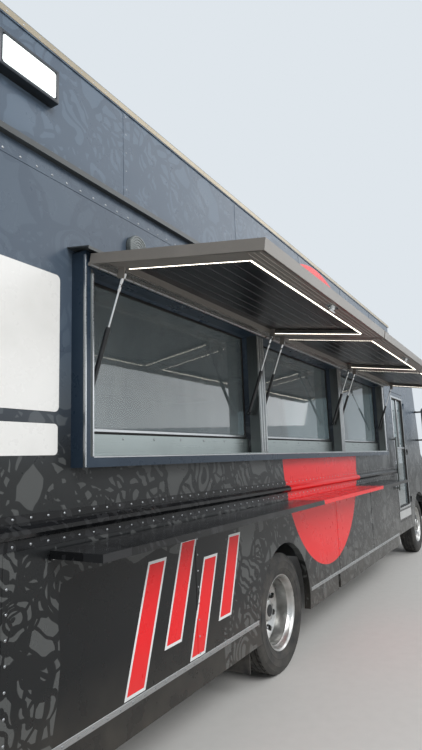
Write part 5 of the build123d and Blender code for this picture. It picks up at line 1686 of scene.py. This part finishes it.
@dataclass
class SeatPads:
    """Driver's seat: moulded pan and shell that carry a padded cushion, backrest and headrest."""

    lean: float = 7.0
    voxel: float = 0.006
    pressure: float = 4.0
    frames: int = 20
    cap: float = 0.012
    seam_depth: float = 0.007
    seam_width: float = 0.007

    def pad(self, low: Place, high: Place, face: Triple, seams: Sequence[tuple[int, float]]) -> Piece:
        """Swell a rounded block by cloth simulation and sew channels into its face.

        Args:
            low: Lowest corner.
            high: Highest corner.
            face: Direction in which its seating face looks.
            seams: Axis and place of each channel.

        Returns:
            The pad, upright.
        """
        pad = Bench.apply(Bench.block(low, high, 0.028, 4), "REMESH", mode="VOXEL", voxel_size=self.voxel)
        rest = [vertex.co.copy() for vertex in pad.data.vertices]
        cloth = pad.modifiers.new("cloth", "CLOTH")
        cloth.settings.use_pressure = True
        cloth.settings.uniform_pressure_force = self.pressure
        cloth.settings.effector_weights.gravity = 0.0
        for number in range(self.frames):
            bpy.context.scene.frame_set(number + 1)
        bpy.ops.object.modifier_apply(modifier=cloth.name)
        bpy.context.scene.frame_set(1)
        look = Vector(face)
        for vertex, start in zip(pad.data.vertices, rest):
            move = vertex.co - start
            if move.length > self.cap:
                vertex.co = start + move.normalized() * self.cap
            if vertex.normal.dot(look) > 0.4:
                dip = sum(2.718 ** -(((vertex.co[axis] - place) / self.seam_width) ** 2) for axis, place in seams)
                vertex.co -= look * self.seam_depth * min(dip, 1.0)
            if look.z > 0.5:
                vertex.co.z = max(vertex.co.z, low[2])
        return Bench.smooth(Bench.apply(pad, "SUBSURF", levels=1, render_levels=1), 60)

    def settle(self, name: str, pieces: list[Piece], finish: Finish, fill: float = 0.0, leans: bool = True) -> None:
        """Lean a piece back, dress it and let it stand for the CAD seat.

        Args:
            name: Name of the finished piece.
            pieces: What it is joined from.
            finish: Its finish.
            fill: Not used.
            leans: Whether it leans back.
        """
        low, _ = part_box("driver_seat")
        piece = Bench.join(pieces)
        if leans:
            Bench.swing(piece, (low.x + 0.08, low.y, low.z + 0.14), (0, 1, 0), -self.lean)
        dress(name, piece, finish)
        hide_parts("driver_seat")

    def build(self) -> None:
        """Build the seat in the space of its CAD node."""
        low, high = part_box("driver_seat")
        x, z, middle, half = low.x, low.z, (low.y + high.y) / 2, (high.y - low.y) / 2
        cushion = self.pad((x + 0.1, low.y + 0.014, z + 0.036), (high.x - 0.014, high.y - 0.014, z + 0.134),
                           (0, 0, 1), ((1, middle - 0.11), (1, middle + 0.11), (0, x + 0.26), (0, x + 0.4)))
        self.settle("seat_cushion", [cushion], Palette.CLOTH, 0.6, False)
        back = self.pad((x + 0.104, middle - half + 0.034, z + 0.15), (x + 0.178, middle + half - 0.034, z + 0.6),
                        (1, 0, 0), ((1, middle - 0.1), (1, middle + 0.1), (2, z + 0.3), (2, z + 0.45)))
        self.settle("seat_backrest", [back], Palette.CLOTH, 0.6)
        head = self.pad((x + 0.108, middle - 0.13, z + 0.645), (x + 0.166, middle + 0.13, z + 0.77), (1, 0, 0), ())
        self.settle("seat_headrest", [head], Palette.CLOTH, 0.7)
        pan = Bench.plate((x + 0.09, low.y + 0.006, z), (high.x - 0.006, high.y - 0.006, z + 0.04), 0.05, 0.004)
        self.settle("seat_pan", [pan], Palette.PLASTIC, leans=False)
        shell = Bench.plate((x + 0.082, middle - half + 0.02, z + 0.11), (x + 0.108, middle + half - 0.02, z + 0.615),
                            0.06, 0.004)
        self.settle("seat_shell", [shell], Palette.PLASTIC)
        posts = [Bench.rod((x + 0.135, y, z + 0.55), (x + 0.135, y, z + 0.68), 0.006, 12)
                 for y in (middle - 0.07, middle + 0.07)]
        self.settle("seat_posts", posts, Palette.CHROME)


@dataclass
class CabDress:
    """Dials, vents and steering wheel cover of the cab's inside, and the mirrors' glasses."""

    wheel_x: float = 3.83
    wheel_out: float = 0.62
    wheel_z: float = 1.415
    wheel_radius: float = 0.21
    wheel_lean: float = 55.0
    grip: float = 0.021
    dash_x: float = 4.0
    dials: tuple[Triple, ...] = ((-0.085, 1.365, 0.048), (0.035, 1.365, 0.048), (0.12, 1.39, 0.022),
                                 (0.12, 1.335, 0.022), (-0.025, 1.31, 0.014))

    def steering(self) -> None:
        """Wrap the steering wheel's rim and cap its hub."""
        lean = radians(self.wheel_lean)
        centre, axis = (self.wheel_x, PLAN.y(self.wheel_out), self.wheel_z), (-sin(lean), 0, cos(lean))
        turns = [2 * pi * n / 12 for n in range(12)]
        grip = Bench.lathe(centre, axis, [(self.wheel_radius - 0.004 + self.grip * cos(turn), self.grip * sin(turn))
                                          for turn in turns], 56, True, 60)
        hub = Bench.lathe(centre, axis, [(0.075, -0.012), (0.08, 0.0), (0.076, 0.014), (0.06, 0.024), (0.02, 0.028)],
                          32, angle=50)
        dress("steering_cover", [grip, hub], Palette.PLASTIC)

    def dashboard(self) -> None:
        """Set a hooded cluster of dials, vents and a glovebox lid on the dashboard's face."""
        x, y = self.dash_x, PLAN.y(self.wheel_out)
        trim = [Bench.plate((x - 0.022, y - 0.17, 1.285), (x + 0.002, y + 0.17, 1.432), 0.03, 0.003),
                Bench.plate((x - 0.006, PLAN.y(-0.95), 1.27), (x + 0.001, PLAN.y(-0.5), 1.41), 0.02)]
        for offset in (-0.35, 0.32, 0.95):
            slat = Bench.block((x - 0.008, PLAN.y(offset - 0.06), 1.335), (x + 0.001, PLAN.y(offset + 0.06), 1.341),
                               0.001, 1)
            trim.append(Bench.row(slat, 6, (0, 0, 0.012)))
        dress("dash_trim", trim, Palette.PLASTIC)
        rims, faces, behind = [], [], (-1, 0, 0)
        for offset, z, radius in self.dials:
            centre = (x - 0.022, y + offset, z)
            rims.append(Bench.lathe(centre, behind, [(radius, -0.001), (radius, 0.005), (radius - 0.004, 0.006),
                                                     (radius - 0.005, 0.001)], 32, True))
            faces.append(Bench.lathe(centre, behind, [(radius - 0.003, -0.001), (radius - 0.003, 0.0016),
                                                      (0.004, 0.0016), (0.003, 0.0045)], 24))
        dress("dial_rims", rims, Palette.CHROME)
        dress("dial_faces", faces, Palette.SEAL)

    def mirrors(self) -> None:
        """Fit a flat and a wide-angle glass into the back of each mirror head, and bolt its arms."""
        glasses, bolts = [], []
        x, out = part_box("mirrors")[0].x, (PLAN.half_width + 0.128, PLAN.half_width + 0.312)
        for side in Side:
            for z in ((1.845, 2.185), (1.665, 1.828)):
                glasses.append(on_side(Bench.plate, side, (x - 0.0025, x + 0.001), out, z, 0.018))
            for z in (1.7, 2.15):
                foot = (x + 0.035, PLAN.y(side.value * (PLAN.half_width + 0.02)), z + 0.012)
                bolts.append(Bench.lathe(foot, (0, 0, 1), [(0.012, -0.001), (0.012, 0.006), (0.008, 0.009)], 6))
        dress("mirror_glasses", glasses, Palette.MIRROR)
        dress("mirror_bolts", bolts, Palette.ZINC)

    def build(self) -> None:
        """Dress the cab's inside and its mirrors."""
        self.steering()
        self.dashboard()
        self.mirrors()


@dataclass
class CabDoorDress:
    """Bright glass frame, gasket, sliding sash, handle and kick plate of one cab door, and the grab rail behind it."""

    side: Side
    glass_x: Span = (2.331, 2.989)
    glass_z: Span = (0.776, 2.269)
    sash_z: float = 1.56
    rail_x: float = 2.2

    def glass(self, body: str) -> None:
        """Frame the glass, part its sash and seal it."""
        side, word, face, sash = self.side, self.side.word, PLAN.half_width, self.sash_z
        (x0, x1), (z0, z1) = self.glass_x, self.glass_z
        middle, inside = (x0 + x1) / 2, (face - 0.03, face - 0.006)
        frame = [
            on_side(Bench.ring, side, (x0 - 0.024, x1 + 0.024), (face - 0.002, face + 0.004),
                    (z0 - 0.024, z1 + 0.024), 0.024, 0.002),
            on_side(Bench.block, side, (x0 + 0.004, x1 - 0.004), inside, (sash, sash + 0.028), 0.003),
            on_side(Bench.block, side, (middle - 0.012, middle + 0.012), inside, (sash + 0.02, z1 - 0.004), 0.003)]
        dress(f"door_frame_{word}", frame, Palette.ALUMINIUM, body)
        gasket = on_side(Bench.ring, side, (x0 - 0.003, x1 + 0.003), (face - 0.04, face + 0.001),
                         (z0 - 0.003, z1 + 0.003), 0.016, 0.003)
        dress(f"door_gasket_{word}", gasket, Palette.SEAL, body)

    def handle(self, body: str) -> None:
        """Fit the handle's plate, lever and lock, and the kick plate."""
        side, face = self.side, PLAN.half_width
        x0, x1 = self.glass_x
        out = (face - 0.002, face + 0.0035)
        lock = (x0 - 0.045, PLAN.y(side.value * (face + 0.003)), 1.382)
        pieces = [on_side(Bench.plate, side, (x0 - 0.062, x0 - 0.028), out, (1.22, 1.4), 0.012),
                  on_side(Bench.block, side, (x0 - 0.053, x0 - 0.037), (face + 0.002, face + 0.02), (1.235, 1.36),
                          0.005, 3),
                  Bench.lathe(lock, (0, side.value, 0), [(0.009, 0), (0.009, 0.003), (0.004, 0.004)], 16),
                  on_side(Bench.plate, side, (x0 - 0.05, x1 + 0.03), out, (0.63, 0.73), 0.01)]
        dress(f"door_handle_{side.word}", pieces, Palette.CHROME, body)

    def build(self) -> None:
        """Dress the door, and bolt the grab rail to the body behind it."""
        body, sign = f"cab_door_{self.side.word}", self.side.value
        self.glass(body)
        self.handle(body)
        x, y, foot = self.rail_x, PLAN.y(sign * (PLAN.half_width + 0.045)), PLAN.y(sign * (PLAN.half_width - 0.001))
        rail = [Bench.rod((x, y, 1.02), (x, y, 1.72), 0.014, 18, 0.004)]
        for z in (1.05, 1.69):
            rail.append(Bench.rod((x, y, z), (x, foot, z), 0.011, 14))
            rail.append(Bench.lathe((x, foot, z), (0, sign, 0), [(0.028, 0), (0.028, 0.003), (0.015, 0.006)], 20))
        dress(f"grab_rail_{self.side.word}", rail, Palette.STEEL_UP)


@dataclass
class NoseDress:
    """Windscreen gasket and wipers, headlamp bowls and bezels, indicators and clearance lamps."""

    screen_x: float = 4.208
    screen_z: float = 1.54
    screen_length: float = 1.0156
    screen_lean: float = 12.1
    bowl: Profile = ((0.104, -0.002), (0.104, 0.004), (0.097, 0.005), (0.075, 0.0012), (0.045, 0.0006),
                     (0.03, 0.003), (0.012, 0.0055))

    def settle(self, name: str, pieces: list[Piece], finish: Finish) -> None:
        """Lean pieces with the windscreen and dress them."""
        piece = Bench.join(pieces)
        Bench.swing(piece, (self.screen_x, PLAN.middle_y, self.screen_z), (0, 1, 0), -self.screen_lean)
        dress(name, piece, finish)

    def screen(self) -> None:
        """Seat both panes in a rubber gasket and park a wiper below each."""
        x, z = self.screen_x, self.screen_z
        gaskets, arms, blades = [], [], []
        for side in Side:
            gaskets.append(on_side(Bench.ring, side, (x - 0.002, x + 0.009), (0.02, 1.105),
                                   (z - 0.006, z + self.screen_length + 0.006), 0.026, 0.004))
            blades.append(on_side(Bench.block, side, (x + 0.006, x + 0.016), (0.22, 0.86), (z + 0.058, z + 0.072),
                                  0.003, 2))
            foot, tip = PLAN.y(side.value * 0.12), PLAN.y(side.value * 0.54)
            arms.append(Bench.rod((x + 0.02, foot, z - 0.01), (x + 0.02, tip, z + 0.068), 0.0055, 10))
            arms.append(Bench.lathe((x + 0.004, foot, z - 0.012), (1, 0, 0),
                                    [(0.02, -0.004), (0.02, 0.014), (0.012, 0.022)], 20))
        self.settle("screen_gasket", gaskets, Palette.SEAL)
        self.settle("wiper_arms", arms, Palette.BLACK)
        self.settle("wiper_blades", blades, Palette.SEAL)

    def lamps(self) -> None:
        """Fit two bowls, a bezel and an amber indicator at each side of the grille."""
        x, nose = PLAN.nose_x + 0.012, PLAN.nose_x
        bowls, bezels, ambers = [], [], []
        for side in Side:
            for offset in (0.73, 0.965):
                bowls.append(Bench.lathe((x, PLAN.y(side.value * offset), 0.985), (1, 0, 0), self.bowl, 40))
            bezels.append(on_side(Bench.ring, side, (x - 0.01, x + 0.007), (0.61, 1.09), (0.85, 1.12), 0.022, 0.003))
            ambers.append(on_side(Bench.plate, side, (nose - 0.002, nose + 0.012), (0.7, 1.0), (0.765, 0.825),
                                  0.018, 0.002))
        dress("headlamp_bowls", bowls, Palette.CHROME)
        dress("headlamp_rims", bezels, Palette.BLACK)
        dress("indicators", ambers, Palette.AMBER_LENS)

    def markers(self) -> None:
        """Cap the clearance lamps over the windscreen, and add red ones over the rear door."""
        fronts = [Bench.plate((2.5705, PLAN.y(offset - 0.045), 3.089), (2.5755, PLAN.y(offset + 0.045), 3.121),
                              0.01, 0.001) for offset in (-0.9, -0.18, 0.0, 0.18, 0.9)]
        dress("front_marker_lenses", fronts, Palette.AMBER_LENS)
        x = PLAN.rear_x
        rears = [Bench.plate((x - 0.018, PLAN.y(offset - 0.05), 3.09), (x + 0.002, PLAN.y(offset + 0.05), 3.125),
                             0.012, 0.002) for offset in (-1.1, -0.2, 0.0, 0.2, 1.1)]
        dress("rear_marker_lenses", rears, Palette.RED_LENS)

    def build(self) -> None:
        """Dress the nose and the clearance lamps."""
        self.screen()
        self.lamps()
        self.markers()


@dataclass
class RearDress:
    """Tail lamp lenses, door furniture, blank plate, tread plate and grab rails of the rear end."""

    lamp_out: float = 1.03
    lamp_kinds: tuple[tuple[str, Finish, float], ...] = (
        ("red", Palette.RED_LENS, 1.28), ("amber", Palette.AMBER_LENS, 1.14), ("clear", Palette.CLEAR_LENS, 1.0))
    lens: Profile = ((0.0525, -0.028), (0.0525, 0.0), (0.047, 0.005), (0.038, 0.0065), (0.034, 0.0045),
                     (0.022, 0.007), (0.006, 0.008))
    grommet: Profile = ((0.0535, -0.032), (0.068, -0.032), (0.068, -0.018), (0.061, -0.008), (0.0535, -0.006))

    def lamps(self) -> None:
        """Set ringed lenses in rubber grommets."""
        x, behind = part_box("tail_lamps")[0].x, (-1, 0, 0)
        rows = [PLAN.y(side.value * self.lamp_out) for side in Side]
        for colour, finish, z in self.lamp_kinds:
            dress(f"tail_lenses_{colour}", [Bench.lathe((x, y, z), behind, self.lens, 36) for y in rows], finish)
        grommets = [Bench.lathe((x, y, z), behind, self.grommet, 36, True) for y in rows
                    for _, _, z in self.lamp_kinds]
        dress("tail_grommets", grommets, Palette.SEAL)

    def door(self) -> None:
        """Fit the rear door's glass gasket, lever, lock rods with their keepers, and kick plate."""
        x, y = PLAN.rear_x, PLAN.y(-0.315)
        gasket = Bench.ring((x - 0.004, PLAN.y(-0.262), 1.532), (x + 0.012, PLAN.y(0.262), 2.218), 0.026, 0.003)
        dress("rear_door_gasket", gasket, Palette.SEAL, "rear_door")
        pieces = [Bench.plate((x - 0.005, y - 0.03, 1.3), (x + 0.001, y + 0.03, 1.5), 0.012),
                  Bench.lathe((x - 0.004, y, 1.4), (-1, 0, 0), [(0.018, 0), (0.018, 0.016), (0.012, 0.022)], 20),
                  Bench.block((x - 0.032, y - 0.012, 1.392), (x - 0.018, y + 0.12, 1.412), 0.005, 3),
                  Bench.rod((x - 0.01, y, 0.8), (x - 0.01, y, 2.4), 0.006, 10)]
        for z in (0.86, 1.1, 1.7, 2.0, 2.34):
            pieces.append(Bench.block((x - 0.018, y - 0.018, z - 0.012), (x + 0.001, y + 0.018, z + 0.012), 0.003, 2))
        pieces.append(Bench.plate((x - 0.003, PLAN.y(-0.34), 0.79), (x + 0.001, PLAN.y(0.34), 0.98), 0.01))
        dress("rear_door_lever", pieces, Palette.STEEL_UP, "rear_door")

    def bumper(self) -> None:
        """Lay a raised-pattern tread plate on the bumper."""
        low, high = PLAN.y(-1.12), PLAN.y(1.12)
        x0, x1 = PLAN.rear_x - 0.145, PLAN.rear_x - 0.006
        tread = [Bench.block((x0, low, 0.6885), (x1, high, 0.6925), 0.001, 1)]
        for number, way in [(number, way) for number in range(4) for way in (0, 1)]:
            x, y = x0 + 0.02 + number * 0.033, low + 0.029 + 0.02 * way
            rib = Bench.block((x - 0.0025, y - 0.009, 0.692), (x + 0.0025, y + 0.009, 0.6945), 0.001, 1)
            Bench.swing(rib, (x, y, 0.69), (0, 0, 1), 45 if (way + number) % 2 else -45)
            tread.append(Bench.row(rib, 54, (0, 0.04, 0)))
        dress("bumper_tread", tread, Palette.ALUMINIUM)

    def plate(self) -> None:
        """Hang the blank plate with its lamp."""
        x, y = PLAN.rear_x, PLAN.y(0.72)
        blank = Bench.plate((x - 0.006, y - 0.152, 0.81), (x - 0.003, y + 0.152, 0.965), 0.012)
        dress("blank_plate", blank, Palette.WHITE_PANEL)
        holder = [Bench.ring((x - 0.008, y - 0.157, 0.805), (x + 0.001, y + 0.157, 0.97), 0.008, 0.001),
                  Bench.block((x - 0.035, y - 0.04, 0.985), (x + 0.001, y + 0.04, 1.01), 0.006, 2)]
        dress("plate_holder", holder, Palette.PLASTIC)

    def rails(self) -> None:
        """Bolt a grab rail at each side of the door."""
        pieces, x, foot = [], PLAN.rear_x - 0.05, PLAN.rear_x + 0.001
        for y in (PLAN.y(-0.5), PLAN.y(0.5)):
            pieces.append(Bench.rod((x, y, 1.12), (x, y, 1.72), 0.014, 18, 0.004))
            for z in (1.15, 1.69):
                pieces.append(Bench.rod((x, y, z), (foot, y, z), 0.011, 14))
                pieces.append(Bench.lathe((foot, y, z), (-1, 0, 0), [(0.028, 0), (0.028, 0.004), (0.015, 0.007)], 20))
        dress("rear_grab_rails", pieces, Palette.STEEL_UP)

    def build(self) -> None:
        """Dress the rear end."""
        self.lamps()
        self.door()
        self.bumper()
        self.plate()
        self.rails()


@dataclass
class LeftDress:
    """Service side: louvred vents, power inlet, fuel cap and the gas locker's lid."""

    vents: tuple[Triple, ...] = ((-3.9, 1.45, 0.5), (-0.9, 1.45, 0.5), (0.95, 1.45, 0.4))
    caps: tuple[Triple, ...] = ((0.87, 0.83, 0.022), (1.49, 0.865, 0.01), (-1.02, 1.12, 0.045))

    def build(self) -> None:
        """Dress the left wall."""
        wall = PLAN.half_width
        face, out = PLAN.y(wall), (wall - 0.0005, wall + 0.003)
        vents, fittings = [], []
        for x, z, width in self.vents:
            vents.append(on_side(Bench.ring, Side.LEFT, (x, x + width), out, (z, z + 0.42), 0.022, 0.001))
            slat = Bench.block((x + 0.02, face, z + 0.03), (x + width - 0.02, PLAN.y(wall + 0.012), z + 0.036),
                               0.0015, 1)
            Bench.swing(slat, (x, face, z + 0.036), (1, 0, 0), -35)
            vents.append(Bench.row(slat, 15, (0, 0, 0.025)))
        dress("side_vents", vents, Palette.ALUMINIUM)
        lids = [on_side(Bench.plate, Side.LEFT, (0.1, 0.95), out, (0.56, 1.1), 0.03),
                on_side(Bench.plate, Side.LEFT, (1.35, 1.52), out, (0.78, 0.95), 0.02)]
        dress("locker_lids", lids, Palette.WRAP)
        for x, z, radius in self.caps:
            fittings.append(Bench.lathe((x, PLAN.y(wall + 0.002), z), (0, 1, 0), [
                (radius, -0.001), (radius, 0.006), (radius * 0.8, 0.009), (radius * 0.78, 0.006),
                (radius * 0.3, 0.008)], 28))
        y = PLAN.y(wall + 0.006)
        fittings += [Bench.rod((x, y, 1.103), (x + 0.12, y, 1.103), 0.006, 12) for x in (0.2, 0.72)]
        dress("side_fittings", fittings, Palette.STEEL_ALONG)


@dataclass
class RoofDress:
    """Lapped roof sheets, bright edge strips, and the fan's slats, bands and cap."""

    def build(self) -> None:
        """Dress the roof."""
        top, out = PLAN.header_top_z, (PLAN.half_width + 0.0045, PLAN.half_width + 0.0078)
        seams = [Bench.block((x - 0.02, PLAN.y(-1.15), top - 0.001), (x + 0.02, PLAN.y(1.15), top + 0.0022), 0.001, 1)
                 for x in [PLAN.rear_x + 0.55 + number * 0.92 for number in range(7)]]
        dress("roof_seams", seams, Palette.WRAP)
        edges = [on_side(Bench.block, side, (PLAN.rear_x + 0.01, 2.54), out, (top - 0.034, top - 0.004), 0.001, 1)
                 for side in Side]
        dress("roof_edges", edges, Palette.EDGE)
        low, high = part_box("roof_fan")
        centre, up = Vector(((low.x + high.x) / 2, (low.y + high.y) / 2, top)), (0, 0, 1)
        slat = Bench.block(centre + Vector((0.2, -0.003, 0.1)), centre + Vector((0.222, 0.003, 0.232)), 0.001, 1)
        pieces = [Bench.round(slat, 36, centre, up)]
        for level, profile, segments, closed in (
                (0.165, ((0.224, -0.004), (0.228, -0.004), (0.228, 0.004), (0.224, 0.004)), 48, True),
                (0.255, ((0.322, -0.014), (0.3285, -0.012), (0.3295, 0.0), (0.3285, 0.012), (0.322, 0.014)), 60, True),
                (0.332, ((0.05, -0.01), (0.05, 0.0), (0.01, 0.002)), 24, False)):
            pieces.append(Bench.lathe(centre + Vector((0, 0, level)), up, profile, segments, closed))
        dress("fan_slats", pieces, Palette.ALUMINIUM)


@dataclass
class ChassisDress:
    """Spring U-bolts and their plates, brake backing plates, and the fuel tank's straps."""

    spring_out: float = 0.482
    brake_out: float = 0.585
    brake: Profile = ((0.06, 0.0), (0.1, 0.004), (0.17, 0.008), (0.205, 0.02), (0.205, 0.085), (0.195, 0.095),
                      (0.06, 0.095))

    def build(self) -> None:
        """Dress the running gear."""
        bolts, plates = [], []
        for axle_x, reach in ((PLAN.rear_axle_x, 0.07), (PLAN.front_axle_x, 0.05)):
            for side in Side:
                middle = PLAN.y(side.value * self.spring_out)
                for x, y in [(x, middle + way) for x in (axle_x - reach, axle_x + reach) for way in (-0.045, 0.045)]:
                    bolts.append(Bench.rod((x, y, 0.325), (x, y, 0.53), 0.009, 10))
                    bolts.append(Bench.lathe((x, y, 0.33), (0, 0, -1), [(0.016, 0), (0.016, 0.014), (0.011, 0.017)], 6))
                plates.append(Bench.block((axle_x - reach - 0.025, middle - 0.062, 0.33),
                                          (axle_x + reach + 0.025, middle + 0.062, 0.342), 0.003))
        for side in Side:
            centre = (PLAN.rear_axle_x, PLAN.y(side.value * self.brake_out), PLAN.axle_z)
            plates.append(Bench.lathe(centre, (0, side.value, 0), self.brake, 40))
        dress("spring_bolts", bolts, Palette.IRON)
        dress("brake_plates", plates, Palette.IRON)
        low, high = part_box("fuel_tank")
        straps = [Bench.ring((x - 0.02, low.y - 0.0035, low.z - 0.0035), (x + 0.02, high.y + 0.0035, high.z + 0.0035),
                             0.0045, 0.001) for x in (low.x + 0.2, high.x - 0.2)]
        dress("tank_straps", straps, Palette.ZINC)


@dataclass
class KitchenDress:
    """Control fascia with knobs, griddle, splashback and grates of the cooking line."""

    face_out: float = 0.56
    top_z: float = 1.6

    def build(self) -> None:
        """Dress the cooking line."""
        y, top = PLAN.y(self.face_out), self.top_z
        fascia = [Bench.block((-3.4, y - 0.012, 1.45), (0.7, y + 0.002, 1.555), 0.004),
                  Bench.block((-3.2, y + 0.06, top - 0.002), (-2.1, y + 0.55, top + 0.03), 0.006),
                  Bench.block((-3.3, y + 0.59, top - 0.002), (0.6, y + 0.605, top + 0.25), 0.003)]
        dress("cooking_fascia", fascia, Palette.STEEL_ALONG)
        knob = Bench.lathe((-3.2, y - 0.012, 1.503), (0, -1, 0), [
            (0.026, -0.001), (0.026, 0.008), (0.02, 0.01), (0.018, 0.03), (0.012, 0.033)], 16)
        dress("control_knobs", Bench.row(knob, 12, (0.33, 0, 0)), Palette.PLASTIC)
        bars = Bench.block((-1.85, y + 0.08, top + 0.012), (-1.838, y + 0.54, top + 0.026), 0.002, 1)
        grates = [Bench.row(bars, 26, (0.045, 0, 0))]
        grates += [Bench.block((-1.87, y + at, top - 0.001), (-0.69, y + at + 0.014, top + 0.016), 0.002, 1)
                   for at in (0.09, 0.3, 0.51)]
        dress("burner_grates", grates, Palette.IRON)


def main() -> None:
    """Build every sub-assembly of the truck in order."""
    logging.basicConfig(level=logging.INFO, format="%(message)s")
    paint_nodes()
    for part in (Studio(), Rivets(), SideSeams(), SignPanels(), WindowSurround(), HatchDress(1), HatchDress(2),
                 HatchDress(3), StrutDress(), ShelfDress(), Wheels(), LampDress(), CabDress(),
                 CabDoorDress(Side.RIGHT), CabDoorDress(Side.LEFT), NoseDress(), RearDress(), LeftDress(),
                 RoofDress(), ChassisDress(), KitchenDress(), SeatPads()):
        part.build()


if __name__ == "__main__":
    main()
